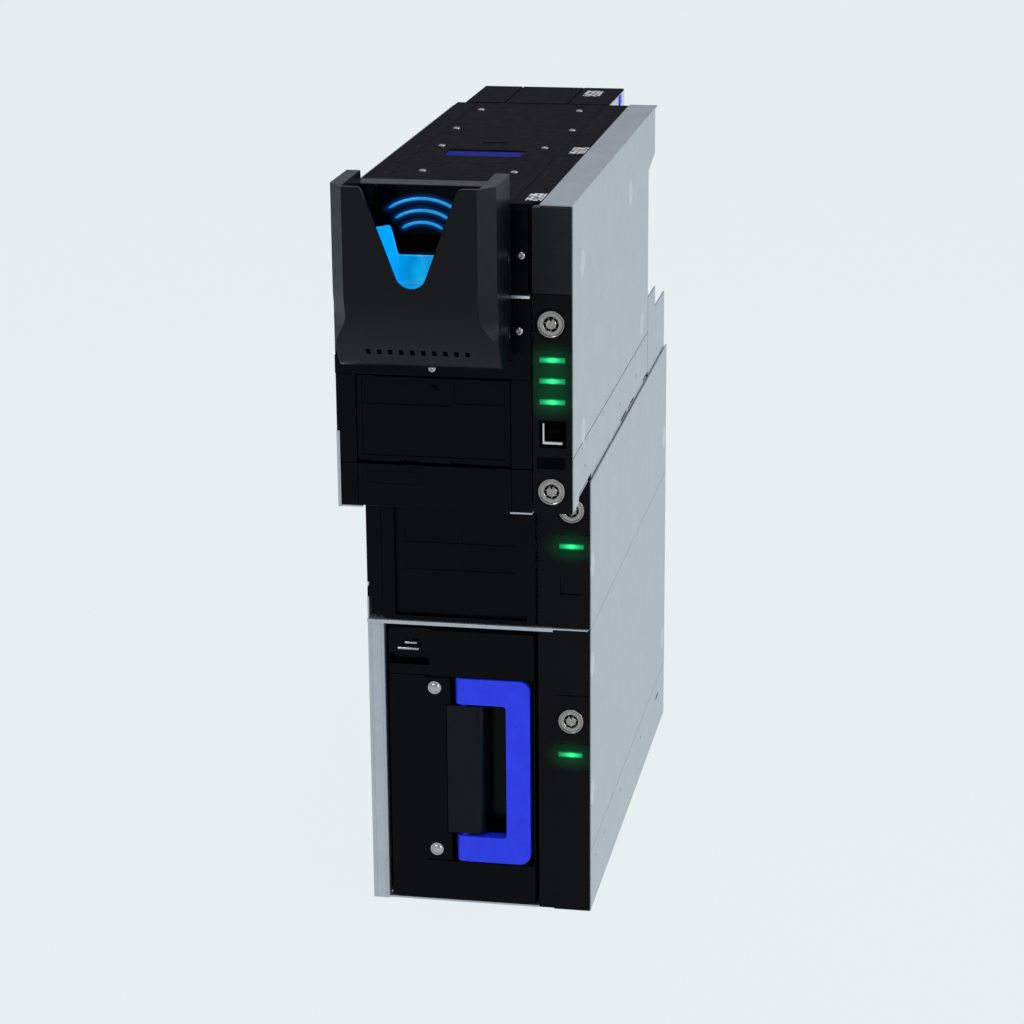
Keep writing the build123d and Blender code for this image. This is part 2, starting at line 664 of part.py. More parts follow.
with BuildPart() as drive_motor:
    bar_x((bezel_centre - 26, bezel_centre + 24), motor_y, motor_z, motor_radius)
    bar_x((bezel_centre + 10, bezel_centre + 25), motor_y, motor_z, 2.0 + turn_gap, mode=Mode.SUBTRACT)
    block((bezel_centre - 24, bezel_centre + 20), (motor_y - 13, motor_y + 13),
          (motor_z - motor_radius - 5, motor_z - 9))
finish(drive_motor, "drive_motor")

with BuildPart() as motor_pulley:
    bar_x((bezel_centre + 12, pulley_x + 5), motor_y, motor_z, 2.0)
    bar_x((pulley_x - 4, pulley_x + 4), motor_y, motor_z, pulley_radius)
finish(motor_pulley, "motor_pulley")


def belt_loop(radius):
    """The outline around the three pulleys at a given radius."""
    with BuildSketch(Plane.YZ.offset(pulley_x - 3)) as loop:
        with Locations((shaft_ys[0], shaft_z), (shaft_ys[1], shaft_z), (motor_y, motor_z)):
            Circle(radius)
        make_hull()
    return loop.sketch


with BuildPart() as drive_belt:
    extrude(belt_loop(pulley_radius + belt_gap + belt_thick), amount=6)
    extrude(belt_loop(pulley_radius + belt_gap), amount=6, mode=Mode.SUBTRACT)
finish(drive_belt, "drive_belt")

board_z = motor_z - motor_radius - 24

with BuildPart() as control_board:
    block((-side + 16, 16), (head_front + 80, head_back - 40), (board_z, board_z + 1.6))
    for x in (-side + 22, 10):
        for y in (head_front + 86, head_back - 46):
            bar_z(x, y, (middle_top + 2 + sheet, board_z), 3.0)
    for x, y, w, d, h in ((-40, -220, 24, 24, 3), (-40, -160, 16, 20, 2.4), (-5, -200, 14, 30, 9),
                          (-50, -90, 30, 18, 12), (0, -100, 18, 18, 2.4), (-30, -20, 40, 12, 8)):
        block((x - w / 2, x + w / 2), (y - d / 2, y + d / 2), (board_z + 1.6, board_z + 1.6 + h))
finish(control_board, "control_board")

# ---- top covers of the head ----
cover_x = (-side + 20, side - 45)
cover_split = head_front + 165.0
cover_top = head_top - 0.6
cover_thick = 4.0
press_low = slot_high - gap

cover_edge = 1.0          # room behind each cover's rear edge
main_hinge_y = cover_back - 3.5
front_hinge_y = cover_split - 3.5
cover_hinge_z = cover_top - cover_thick / 2
rim_front = head_front + column_depth + gap

with BuildPart() as head_rims:
    block((-inner + gap, cover_x[0] - gap), (plate_back + gap, cover_back), (head_top - 14, cover_top))
    block((cover_x[1] + gap, side - 24 - gap), (rim_front, cover_back), (head_top - 14, cover_top))
    block((cover_x[1] + gap, column_left - 2 * gap), (plate_back + gap, rim_front + 1),
          (head_top - 14, cover_top))
    for y in (main_hinge_y, front_hinge_y):
        bar_x((cover_x[0] - pin_reach - gap, cover_x[1] + pin_reach + gap), y, cover_hinge_z,
              pin_radius + turn_gap, mode=Mode.SUBTRACT)
finish(head_rims, "head_rims")

with BuildPart() as front_cover:
    block(cover_x, (plate_back + gap, cover_split - cover_edge), (cover_top - cover_thick, cover_top))
    block((bed_x[0] + 5, bed_x[1] - 5), (plate_back + 3, cover_split - 6),
          (press_low + 1, cover_top - cover_thick + 1))
    block((bed_x[0] + 8, bed_x[1] - 8), (plate_back + 6, cover_split - 9),
          (press_low, cover_top - cover_thick - 3), mode=Mode.SUBTRACT)
    bar_x((cover_x[0] - pin_reach, cover_x[1] + pin_reach), front_hinge_y, cover_hinge_z, pin_radius)
finish(front_cover, "front_cover")

latch_x = (bezel_centre - 30, bezel_centre + 30)
latch_y = (cover_split + 30.0, cover_split + 52.0)
latch_travel = 6.0
latch_depth = 8.0

with BuildPart() as main_cover:
    block(cover_x, (cover_split + gap, cover_back - cover_edge), (cover_top - cover_thick, cover_top))
    block((bed_x[0] + 5, bed_x[1] - 5), (cover_split + 6, head_back - 14),
          (press_low + 1, cover_top - cover_thick + 1))
    block((latch_x[0] - gap, latch_x[1] + gap), (latch_y[0] - gap, latch_y[1] + latch_travel + gap),
          (cover_top - latch_depth - gap, cover_top + 1), mode=Mode.SUBTRACT)
    block((bezel_centre - 10, bezel_centre + 10), (cover_split + 84, cover_split + 95),
          (cover_top - 0.8, cover_top + 1), mode=Mode.SUBTRACT)
    bar_x((cover_x[0] - pin_reach, cover_x[1] + pin_reach), main_hinge_y, cover_hinge_z, pin_radius)
finish(main_cover, "main_cover")

with BuildPart() as cover_latch:
    block(latch_x, latch_y, (cover_top - latch_depth, cover_top - 0.5))
    fillet(cover_latch.edges().filter_by(Axis.Z), 0.8)
finish(cover_latch, "cover_latch")

with BuildPart() as cover_screws:
    for x, y in ((-58, 334), (26, 338), (-60, 237), (36, 239), (-55, 153), (28, 153)):
        bar_z(x, head_front + 84 + y, (cover_top, cover_top + 1.2), screw_radius)
        bar_z(x, head_front + 84 + y, (cover_top + 0.5, cover_top + 2), 1.1, mode=Mode.SUBTRACT)
finish(cover_screws, "cover_screws")

tail_x = (-side + 9, side - 42)
tail_y = (cover_back, cover_back + 92)

with BuildPart() as rear_transport:
    block(tail_x, tail_y, (middle_top + 78, head_top))
    block((bed_x[0] - 4, bed_x[1] + 4), (head_back, tail_y[0] + 1), (note_floor - 14, press_low - 1))
    for x in (tail_x[0] + 34, tail_x[1] - 36):
        block((x - 0.6, x + 0.6), (tail_y[0] - 1, tail_y[1] + 1), (head_top - 3, head_top + 1),
              mode=Mode.SUBTRACT)
    block(drop_x, drop_y, (middle_top + 70, head_top - 12), mode=Mode.SUBTRACT)
    block(drop_x, (head_back - 1, drop_y[1]), (slot_low, slot_high), mode=Mode.SUBTRACT)
finish(rear_transport, "rear_transport")

# ---- cash box ----
box_x = (-side + flange_width + box_side_gap, column_left - strip_width - box_side_gap)
box_low = floor_sheet + slide_gap
box_high = lower_height - 5.0
shell_front = front + box_front_depth + gap
shell_back = front + box_length
pocket = (box_x[0] + 49.0, 36.0, 192.0)
handle_low = pocket[1] + 1.0
handle_high = pocket[2] - 0.6
arm = 21.3
grip = 19.0
handle_thick = 11.0
handle_right = box_x[1] - 3.6
hinge_x = pocket[0] + 10.0
hinge_y = front + 5.0
hinge_radius = 6.5
rod_radius = 3.6

with BuildPart() as box_front:
    block(box_x, (front + 1.2, front + box_front_depth), (box_low, box_high))
    fillet(box_front.edges().filter_by(Axis.Y), 5.0)
    block((box_x[0] + 33.5, box_x[1] - 0.4), (front - 0.6, front + 2), (pocket[2] + 0.4, box_high - 1))
    block((box_x[0] + 28, pocket[0]), (front, front + 2), (pocket[1] + 2, pocket[2] - 1))
    block((box_x[0] + 28, box_x[1] - 0.4), (front, front + 2), (box_low + 1.5, pocket[1] - 0.6))
    block((box_x[0] + 1, box_x[0] + 32.5), (front, front + 9), (pocket[2] + 8.5, pocket[2] + 17.5),
          mode=Mode.SUBTRACT)
    block((box_x[0] - 1, box_x[1] + 1), (front - 1, front + 2.2), (pocket[2] - 0.4, pocket[2] + 0.4),
          mode=Mode.SUBTRACT)
    block((pocket[0], box_x[1] - 1.2), (front - 1, front + 14), (pocket[1], pocket[2]), mode=Mode.SUBTRACT)
    block((pocket[0] - 3.6, pocket[0] + 1), (front - 1, front + 14),
          (handle_low + arm + 1, handle_high - arm - 1), mode=Mode.SUBTRACT)
    block((pocket[0] + 26, box_x[1] - 4), (front - 1, front + box_front_depth - wall),
          (handle_low + arm, handle_high - arm), mode=Mode.SUBTRACT)
finish(box_front, "box_front")

with BuildPart() as handle_cover:
    with BuildSketch(Plane.XY.offset(handle_low + arm + 2)) as cover_profile:
        with BuildLine():
            Polyline((pocket[0] - 3.0, front - 0.3), (pocket[0] + 26.5, front - 0.3),
                     (pocket[0] + 26.5, front + 13.6), (pocket[0] - 3.0, front + 13.6), close=True)
        make_face()
        fillet(cover_profile.vertices().group_by(Axis.Y)[0].sort_by(Axis.X)[-1:], 7.0)
        with Locations((hinge_x, hinge_y)):
            Circle(rod_radius + turn_gap, mode=Mode.SUBTRACT)
    extrude(amount=handle_high - handle_low - 2 * arm - 4)
finish(handle_cover, "handle_cover")

with BuildPart() as box_handle:
    with BuildSketch(Plane.XZ.offset(-(front - 1.5))) as handle_outline:
        with BuildLine():
            Polyline((hinge_x, handle_low), (handle_right, handle_low), (handle_right, handle_high),
                     (hinge_x, handle_high), (hinge_x, handle_high - arm),
                     (handle_right - grip, handle_high - arm), (handle_right - grip, handle_low + arm),
                     (hinge_x, handle_low + arm), close=True)
        make_face()
        fillet(handle_outline.vertices().group_by(Axis.X)[-1], 9.0)
        fillet(handle_outline.vertices().group_by(Axis.X)[1], 3.0)
    extrude(amount=-handle_thick)
    bar_z(hinge_x, hinge_y, (handle_low, handle_low + arm), hinge_radius)
    bar_z(hinge_x, hinge_y, (handle_high - arm, handle_high), hinge_radius)
    bar_z(hinge_x, hinge_y, (handle_low, handle_high), rod_radius)
finish(box_handle, "box_handle")

with BuildPart() as box_studs:
    for z in (pocket[1] + 9.5, pocket[2] - 9.5):
        bar_y(box_x[0] + 36.6, (front - 1.2, front), z, 5.2)
        bar_y(box_x[0] + 36.6, (front - 2.2, front - 1.2), z, 4.0)
finish(box_studs, "box_studs")

with BuildPart() as latch_staple:
    block((box_x[0] + 8.5, box_x[0] + 25.6), (front - 3.2, front - 1.2), (pocket[2] + 22.4, pocket[2] + 24))
    block((box_x[0] + 13.6, box_x[0] + 24.4), (front - 5, front - 3.2), (pocket[2] + 22.4, pocket[2] + 28.6))
    for x in (box_x[0] + 10, box_x[0] + 23):
        block((x - 1, x + 1), (front - 2, front + 1.2), (pocket[2] + 22.4, pocket[2] + 24))
finish(latch_staple, "latch_staple")

with BuildPart() as box_shell:
    block(box_x, (shell_front, shell_back), (box_low, box_high))
    block((box_x[0] + box_wall, box_x[1] - box_wall), (shell_front - 1, shell_back - box_wall),
          (box_low + box_wall, box_high - box_wall), mode=Mode.SUBTRACT)
    block(drop_x, drop_y, (box_high - 5, box_high + 1), mode=Mode.SUBTRACT)
finish(box_shell, "box_shell")

pusher_top = box_high - box_wall - 3

with BuildPart() as pusher_plate:
    block((box_x[0] + 6, box_x[1] - 6), (shell_front + 10, shell_back - 70), (pusher_top - 3, pusher_top))
    for y in (shell_front + 60, shell_back - 140):
        block((box_x[0] + 20, box_x[1] - 20), (y - 6, y + 6), (pusher_top - 14, pusher_top - 2))
finish(pusher_plate, "pusher_plate")

# ---- recycling cassette ----
cassette_low = shelf_top + slide_gap
cassette_high = middle_top - 3.0
panel_inset = 10.0
cassette_shell_front = front + column_depth + gap
drum_z = (cassette_low + cassette_high) / 2
drum_ys = (cassette_shell_front + 60, cassette_shell_front + 170)

with BuildPart() as cassette_front:
    block((cassette_left, cassette_right), (front, front + column_depth), (cassette_low, cassette_high))
    fillet(cassette_front.edges().filter_by(Axis.Y), 2.0)
    block((cassette_left + panel_inset, cassette_right - 7), (front - 1, front + 4),
          (cassette_low + 3, cassette_high - 6), mode=Mode.SUBTRACT)
    for x in (-36.5, 8.5):
        for z in (cassette_low + 67, cassette_low + 45):
            block((x - 21.5, x + 21.5), (front + 3, front + 4.6), (z - 5, z + 5), mode=Mode.SUBTRACT)
finish(cassette_front, "cassette_front")

with BuildPart() as cassette_shell:
    block((cassette_left, cassette_right), (cassette_shell_front, front + cassette_length),
          (cassette_low, cassette_high))
    block((cassette_left + wall, cassette_right - wall),
          (cassette_shell_front - 1, front + cassette_length - wall),
          (cassette_low + wall, cassette_high - wall), mode=Mode.SUBTRACT)
    for y in drum_ys:
        bar_x((cassette_left - 1, cassette_right + 1), y, drum_z, 4.0 + turn_gap, mode=Mode.SUBTRACT)
    block(drop_x, (front + cassette_length - 24, front + cassette_length - 8),
          (cassette_high - 5, cassette_high + 1), mode=Mode.SUBTRACT)
finish(cassette_shell, "cassette_shell")


def note_drum(y, name):
    """A tape drum: a spool between two flanges on its shaft."""
    with BuildPart() as drum:
        bar_x((cassette_left + 0.4, cassette_right - 0.4), y, drum_z, 4.0)
        bar_x((cassette_centre - drum_width / 2, cassette_centre + drum_width / 2), y, drum_z,
              drum_radius - 8)
        for s in (-1, 1):
            x = cassette_centre + s * drum_width / 2
            bar_x(sorted((x, x - s * 3)), y, drum_z, drum_radius)
    finish(drum, name)


note_drum(drum_ys[0], "front_drum")
note_drum(drum_ys[1], "rear_drum")
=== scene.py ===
import math

import bmesh
import bpy
from mathutils import Matrix, Vector


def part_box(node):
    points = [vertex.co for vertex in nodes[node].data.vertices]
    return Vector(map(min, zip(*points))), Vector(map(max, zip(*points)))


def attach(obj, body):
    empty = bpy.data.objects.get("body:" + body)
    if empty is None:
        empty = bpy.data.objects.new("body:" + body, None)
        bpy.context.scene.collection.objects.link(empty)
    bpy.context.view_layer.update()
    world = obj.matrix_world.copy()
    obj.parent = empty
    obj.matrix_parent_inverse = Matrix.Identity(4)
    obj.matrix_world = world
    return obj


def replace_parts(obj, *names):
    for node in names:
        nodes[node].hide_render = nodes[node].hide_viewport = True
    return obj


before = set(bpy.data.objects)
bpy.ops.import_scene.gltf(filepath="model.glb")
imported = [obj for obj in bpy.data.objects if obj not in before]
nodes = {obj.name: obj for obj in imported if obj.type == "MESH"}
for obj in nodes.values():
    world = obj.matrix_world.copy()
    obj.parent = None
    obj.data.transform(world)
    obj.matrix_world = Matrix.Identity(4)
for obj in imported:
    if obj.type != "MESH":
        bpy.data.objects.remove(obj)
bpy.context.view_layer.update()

# lengths below are in millimetres unless a name says otherwise
mm = 0.001


# low and high corner of a body, in millimetres
def span(node):
    low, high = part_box(node)
    return Vector(low) / mm, Vector(high) / mm


cameraSetup = {
    "target": (-9.5, -25.0, 267.1), "azimuth": 10.46, "elevation": 16.99,
    "distance": 2410.6, "roll": -0.46, "lens": 101.0, "sensor": 36.0, "clip": (0.05, 60.0),
}


def placeCamera(setup):
    a = math.radians(setup["azimuth"])
    e = math.radians(setup["elevation"])
    back = Vector((math.sin(a) * math.cos(e), -math.cos(a) * math.cos(e), math.sin(e)))
    data = bpy.data.cameras.new("studioCamera")
    data.lens = setup["lens"]
    data.sensor_width = setup["sensor"]
    data.clip_start, data.clip_end = setup["clip"]
    camera = bpy.data.objects.new("studioCamera", data)
    bpy.context.scene.collection.objects.link(camera)
    camera.location = (Vector(setup["target"]) + back * setup["distance"]) * mm
    turn = (-back).to_track_quat("-Z", "Y").to_matrix()
    camera.rotation_euler = (turn @ Matrix.Rotation(math.radians(setup["roll"]), 3, "Z")).to_euler()
    bpy.context.scene.camera = camera


# light places and sizes are in metres
studio = {
    "floorGlow": (0.800, 0.866, 0.884, 1), "floorStrength": 0.97, "floorSize": 16.0, "floorShade": 0.03,
    "worldColour": (0.90, 0.95, 1.0, 1), "worldStrength": 0.5, "aim": (0, -0.05, 0.3),
    "lights": [
        ("keyLight", (-1.3, -2.4, 2.2), 1.0, 26.0, (1.0, 0.99, 0.98)),
        ("sideLight", (2.6, -0.7, 1.1), 1.5, 34.0, (0.95, 0.98, 1.0)),
        ("topLight", (0.3, -0.4, 2.6), 1.2, 12.0, (1.0, 1.0, 1.0)),
    ],
}


def buildStudio(setup):
    half = setup["floorSize"] / 2
    mesh = bpy.data.meshes.new("floor")
    corners = [(-half, -half, 0), (half, -half, 0), (half, half, 0), (-half, half, 0)]
    mesh.from_pydata(corners, [], [(0, 1, 2, 3)])
    floor = bpy.data.objects.new("floor", mesh)
    bpy.context.scene.collection.objects.link(floor)
    material = bpy.data.materials.new("paleFloor")
    material.use_nodes = True
    shader = material.node_tree.nodes["Principled BSDF"]
    shader.inputs["Base Color"].default_value = (*[setup["floorShade"]] * 3, 1)
    shader.inputs["Specular IOR Level"].default_value = 0.0
    shader.inputs["Roughness"].default_value = 1.0
    shader.inputs["Emission Color"].default_value = setup["floorGlow"]
    shader.inputs["Emission Strength"].default_value = setup["floorStrength"]
    mesh.materials.append(material)
    world = bpy.context.scene.world or bpy.data.worlds.new("world")
    bpy.context.scene.world = world
    world.use_nodes = True
    background = world.node_tree.nodes["Background"]
    background.inputs["Color"].default_value = setup["worldColour"]
    background.inputs["Strength"].default_value = setup["worldStrength"]
    for name, place, size, power, colour in setup["lights"]:
        data = bpy.data.lights.new(name, "AREA")
        data.shape = "SQUARE"
        data.size = size
        data.energy = power
        data.color = colour
        light = bpy.data.objects.new(name, data)
        light.location = place
        light.rotation_euler = (Vector(setup["aim"]) - Vector(place)).to_track_quat("-Z", "Y").to_euler()
        bpy.context.scene.collection.objects.link(light)
    bpy.context.scene.view_settings.view_transform = "Standard"


placeCamera(cameraSetup)
buildStudio(studio)
print("studio ready")


def newFinish(name):
    material = bpy.data.materials.new(name)
    material.use_nodes = True
    tree = material.node_tree
    shader = tree.nodes["Principled BSDF"]
    coords = tree.nodes.new("ShaderNodeTexCoord")
    return material, tree, shader, coords.outputs["Object"]


def noise(tree, coords, scale, detail=3.0, roughness=0.5):
    node = tree.nodes.new("ShaderNodeTexNoise")
    node.inputs["Scale"].default_value = scale
    node.inputs["Detail"].default_value = detail
    node.inputs["Roughness"].default_value = roughness
    tree.links.new(coords, node.inputs["Vector"])
    return node.outputs["Fac"]


def ramp(tree, value, stops):
    node = tree.nodes.new("ShaderNodeValToRGB")
    tree.links.new(value, node.inputs["Fac"])
    band = node.color_ramp
    while len(band.elements) < len(stops):
        band.elements.new(0.5)
    for element, (place, colour) in zip(band.elements, stops):
        element.position = place
        element.color = colour if len(colour) == 4 else (*colour, 1)
    return node.outputs["Color"]


# maps a value from start..end to low..high
def spread(tree, value, low, high, start=0.3, end=0.7):
    node = tree.nodes.new("ShaderNodeMapRange")
    node.inputs["From Min"].default_value = start
    node.inputs["From Max"].default_value = end
    node.inputs["To Min"].default_value = low
    node.inputs["To Max"].default_value = high
    tree.links.new(value, node.inputs["Value"])
    return node.outputs["Result"]


def bump(tree, shader, height, strength, distance):
    node = tree.nodes.new("ShaderNodeBump")
    node.inputs["Strength"].default_value = strength
    node.inputs["Distance"].default_value = distance
    tree.links.new(height, node.inputs["Height"])
    tree.links.new(node.outputs["Normal"], shader.inputs["Normal"])


def math2(tree, operation, a, b=0.0):
    node = tree.nodes.new("ShaderNodeMath")
    node.operation = operation
    for socket, value in zip(node.inputs, (a, b)):
        if isinstance(value, (int, float)):
            socket.default_value = value
        else:
            tree.links.new(value, socket)
    return node.outputs["Value"]


def axes(tree, coords):
    node = tree.nodes.new("ShaderNodeSeparateXYZ")
    tree.links.new(coords, node.inputs["Vector"])
    return node.outputs["X"], node.outputs["Y"], node.outputs["Z"]


def hypotenuse(tree, a, b):
    squares = math2(tree, "ADD", math2(tree, "MULTIPLY", a, a), math2(tree, "MULTIPLY", b, b))
    return math2(tree, "SQRT", squares)


# 1 at zero distance, falling to 0 where the distance reaches 1
def falloff(tree, distance, power=1.0):
    near = math2(tree, "MAXIMUM", math2(tree, "SUBTRACT", 1.0, distance), 0.0)
    return near if power == 1.0 else math2(tree, "POWER", near, power)


# how far a point is from a spot, as a share of the given reach along x and z
def spotDistance(tree, coords, spot, reach):
    x, _, z = axes(tree, coords)
    dx = math2(tree, "DIVIDE", math2(tree, "SUBTRACT", x, spot[0] * mm), reach[0] * mm)
    dz = math2(tree, "DIVIDE", math2(tree, "SUBTRACT", z, spot[1] * mm), reach[1] * mm)
    return hypotenuse(tree, dx, dz)


# fine-grained plastic, slightly cloudy in tone and gloss
def mouldedPlastic(name, dark, light, roughness, grain=0.25, shine=0.12, grainScale=2600.0):
    material, tree, shader, coords = newFinish(name)
    cloudy = noise(tree, coords, 70.0, 6.0, 0.65)
    tree.links.new(ramp(tree, cloudy, [(0.3, dark), (0.75, light)]), shader.inputs["Base Color"])
    tree.links.new(spread(tree, noise(tree, coords, 130.0, 4.0), roughness - 0.04, roughness + 0.05),
                   shader.inputs["Roughness"])
    bump(tree, shader, noise(tree, coords, grainScale, 2.0), grain, 0.00012)
    shader.inputs["Specular IOR Level"].default_value = shine
    return material


# zinc-coated sheet with a faint spangle
def sheetSteel(name, dark, light, roughness, metallic=0.85):
    material, tree, shader, coords = newFinish(name)
    spangle = tree.nodes.new("ShaderNodeTexVoronoi")
    spangle.inputs["Scale"].default_value = 260.0
    tree.links.new(coords, spangle.inputs["Vector"])
    mix = tree.nodes.new("ShaderNodeMix")
    mix.data_type = "FLOAT"
    mix.inputs["Factor"].default_value = 0.2
    tree.links.new(noise(tree, coords, 34.0, 6.0, 0.62), mix.inputs["A"])
    tree.links.new(spangle.outputs["Color"], mix.inputs["B"])
    blotches = mix.outputs["Result"]
    tree.links.new(ramp(tree, blotches, [(0.25, dark), (0.7, light)]), shader.inputs["Base Color"])
    tree.links.new(spread(tree, blotches, roughness - 0.05, roughness + 0.06), shader.inputs["Roughness"])
    shader.inputs["Metallic"].default_value = metallic
    bump(tree, shader, noise(tree, coords, 900.0, 3.0), 0.08, 0.0001)
    return material


def polishedMetal(name, colour, roughness):
    material, tree, shader, coords = newFinish(name)
    worn = tuple(c * 0.82 for c in colour)
    tone = ramp(tree, noise(tree, coords, 400.0, 3.0), [(0.3, worn), (0.7, colour)])
    tree.links.new(tone, shader.inputs["Base Color"])
    tree.links.new(spread(tree, noise(tree, coords, 900.0, 2.0), roughness * 0.8, roughness * 1.25),
                   shader.inputs["Roughness"])
    shader.inputs["Metallic"].default_value = 1.0
    bump(tree, shader, noise(tree, coords, 2500.0, 2.0), 0.06, 0.00005)
    return material


bayLensLow, bayLensHigh = span("bay_lenses")
headLensLow, headLensHigh = span("head_lenses")
lensShape = {
    "middle": (headLensLow.x + headLensHigh.x) / 2, "halfLength": 10.2, "core": 1.0, "reach": 2.4,
    "levels": [bayLensLow.z + 2.0, bayLensHigh.z - 2.0,
               headLensLow.z + 2.0, (headLensLow.z + headLensHigh.z) / 2, headLensHigh.z - 2.0],
    "glow": [(0.0, (0.10, 1.0, 0.34)), (0.32, (0.01, 0.80, 0.22)),
             (0.68, (0.0, 0.36, 0.10)), (1.0, (0.0, 0.13, 0.04))],
    "strength": 1.15, "edgeLoss": 0.55,
}


# lit lens: brightest in the middle, falling off to its ends and edges
def litLens(name, s):
    material, tree, shader, coords = newFinish(name)
    x, _, z = axes(tree, coords)
    along = math2(tree, "ABSOLUTE", math2(tree, "SUBTRACT", x, s["middle"] * mm))
    along = math2(tree, "ADD", math2(tree, "DIVIDE", along, s["halfLength"] * mm),
                  math2(tree, "MULTIPLY", noise(tree, coords, 500.0, 2.0), 0.08))
    for place in s["levels"]:
        level = math2(tree, "ABSOLUTE", math2(tree, "SUBTRACT", z, place * mm))
        inside = math2(tree, "LESS_THAN", level, s["reach"] * mm)
        edge = math2(tree, "SUBTRACT", math2(tree, "DIVIDE", level, s["core"] * mm), 1.0)
        loss = math2(tree, "MULTIPLY", math2(tree, "MAXIMUM", edge, 0.0), s["edgeLoss"])
        along = math2(tree, "ADD", along, math2(tree, "MULTIPLY", inside, loss))
    tree.links.new(ramp(tree, along, s["glow"]), shader.inputs["Emission Color"])
    shader.inputs["Base Color"].default_value = (0.0, 0.10, 0.03, 1)
    shader.inputs["Emission Strength"].default_value = s["strength"]
    shader.inputs["Roughness"].default_value = 0.3
    shader.inputs["Specular IOR Level"].default_value = 0.2
    return material


# the column's green emission near the lenses is painted light spilling from them
columnLook = {
    "dark": (0.0004, 0.0008, 0.0014), "light": (0.0010, 0.0015, 0.0024), "paintedLensGlow": (0.0, 0.058, 0.020, 1),
    "paintedLensGlowReach": (24.0, 15.0), "paintedLensGlowPower": 1.5,
    "blockFoot": span("head_column")[1].z - 63.0, "blockEdge": 0.4,
    "block": [(0.3, (0.0085, 0.0120, 0.0170)), (0.7, (0.0115, 0.0155, 0.0210))],
}


# node tree, shader and object coordinates of a finish that is already made
def openFinish(material):
    tree = material.node_tree
    coords = next(n for n in tree.nodes if n.bl_idname == "ShaderNodeTexCoord").outputs["Object"]
    return tree, tree.nodes["Principled BSDF"], coords


# black plastic with a paler block on top, and a painted green glow near the lit lenses that stands for their
# light falling on the column
def paintedGlowColumn(name, look, lenses):
    material = mouldedPlastic(name, look["dark"], look["light"], 0.26, 0.25, 0.082)
    tree, shader, coords = openFinish(material)
    total = None
    for level in lenses["levels"]:
        away = spotDistance(tree, coords, (lenses["middle"], level), look["paintedLensGlowReach"])
        near = falloff(tree, away, look["paintedLensGlowPower"])
        total = near if total is None else math2(tree, "ADD", total, near)
    tree.links.new(total, shader.inputs["Emission Strength"])
    shader.inputs["Emission Color"].default_value = look["paintedLensGlow"]
    blend = tree.nodes.new("ShaderNodeMix")
    blend.data_type = "RGBA"
    foot = look["blockFoot"]
    inBlock = spread(tree, axes(tree, coords)[2], 0.0, 1.0, foot * mm, (foot + look["blockEdge"]) * mm)
    tree.links.new(inBlock, blend.inputs["Factor"])
    tree.links.new(shader.inputs["Base Color"].links[0].from_socket, blend.inputs["A"])
    tree.links.new(ramp(tree, noise(tree, coords, 90.0, 5.0), look["block"]), blend.inputs["B"])
    tree.links.new(blend.outputs["Result"], shader.inputs["Base Color"])
    return material


guideLook = {
    "glow": [(0.0, (0.004, 0.38, 0.74)), (0.35, (0.0, 0.25, 0.60)),
             (0.70, (0.0, 0.30, 0.78)), (1.0, (0.0, 0.38, 1.0))],
    "halfWidth": 25.0, "riseShare": 0.25, "strength": 0.95,
    "lobe": (-4.0, 13.0), "lobeReach": (15.0, 9.0), "lobeLift": 0.30,
}


# clear plastic lit from its side edges, paler towards its middle
def litGuide(name, look, centre, low, high):
    material, tree, shader, coords = newFinish(name)
    x, _, z = axes(tree, coords)
    out = math2(tree, "ABSOLUTE", math2(tree, "SUBTRACT", x, centre * mm))
    out = math2(tree, "DIVIDE", out, look["halfWidth"] * mm)
    rise = spread(tree, z, 0.0, look["riseShare"], low * mm, high * mm)
    lobeSpot = (centre + look["lobe"][0], low + look["lobe"][1])
    lobe = falloff(tree, spotDistance(tree, coords, lobeSpot, look["lobeReach"]))
    lift = math2(tree, "MULTIPLY", lobe, look["lobeLift"])
    value = math2(tree, "SUBTRACT", math2(tree, "ADD", out, rise), lift)
    value = math2(tree, "ADD", value, math2(tree, "MULTIPLY", noise(tree, coords, 90.0, 2.0), 0.10))
    tree.links.new(ramp(tree, value, look["glow"]), shader.inputs["Emission Color"])
    shader.inputs["Base Color"].default_value = (0.0, 0.05, 0.12, 1)
    shader.inputs["Emission Strength"].default_value = look["strength"]
    shader.inputs["Roughness"].default_value = 0.14
    shader.inputs["Specular IOR Level"].default_value = 0.2
    return material


# blue line of light, a little uneven along its length
def litLine(name, glow, scale, detail, roughness):
    material, tree, shader, coords = newFinish(name)
    tree.links.new(ramp(tree, noise(tree, coords, scale, detail), glow), shader.inputs["Emission Color"])
    shader.inputs["Base Color"].default_value = (0.0, 0.1, 0.25, 1)
    shader.inputs["Emission Strength"].default_value = 1.0
    shader.inputs["Roughness"].default_value = roughness
    return material


# gloss panel with a painted soft blue glow along each arc, standing for light from the lit arcs
def arcPanel(name, s):
    material = mouldedPlastic(name, (0.0006, 0.0009, 0.0022), (0.0012, 0.0017, 0.0034), 0.12, 0.03, 0.03)
    tree, shader, coords = openFinish(material)
    x, _, z = axes(tree, coords)
    dx = math2(tree, "SUBTRACT", x, s["centre"][0] * mm)
    dz = math2(tree, "SUBTRACT", z, s["centre"][1] * mm)
    radius = hypotenuse(tree, dx, dz)
    turn = math2(tree, "ABSOLUTE", math2(tree, "ARCTAN2", dx, dz))
    fade = [math.radians(s["halfAngle"] + offset) for offset in s["paintedArcGlowEnds"]]
    inside = spread(tree, turn, 1.0, 0.0, *fade)
    total = None
    for arc in s["radii"]:
        off = math2(tree, "ABSOLUTE", math2(tree, "SUBTRACT", radius, arc * mm))
        near = falloff(tree, math2(tree, "DIVIDE", off, s["paintedArcGlowReach"] * mm), s["paintedArcGlowPower"])
        total = near if total is None else math2(tree, "ADD", total, near)
    tree.links.new(math2(tree, "MULTIPLY", total, inside), shader.inputs["Emission Strength"])
    shader.inputs["Emission Color"].default_value = s["paintedArcGlow"]
    return material


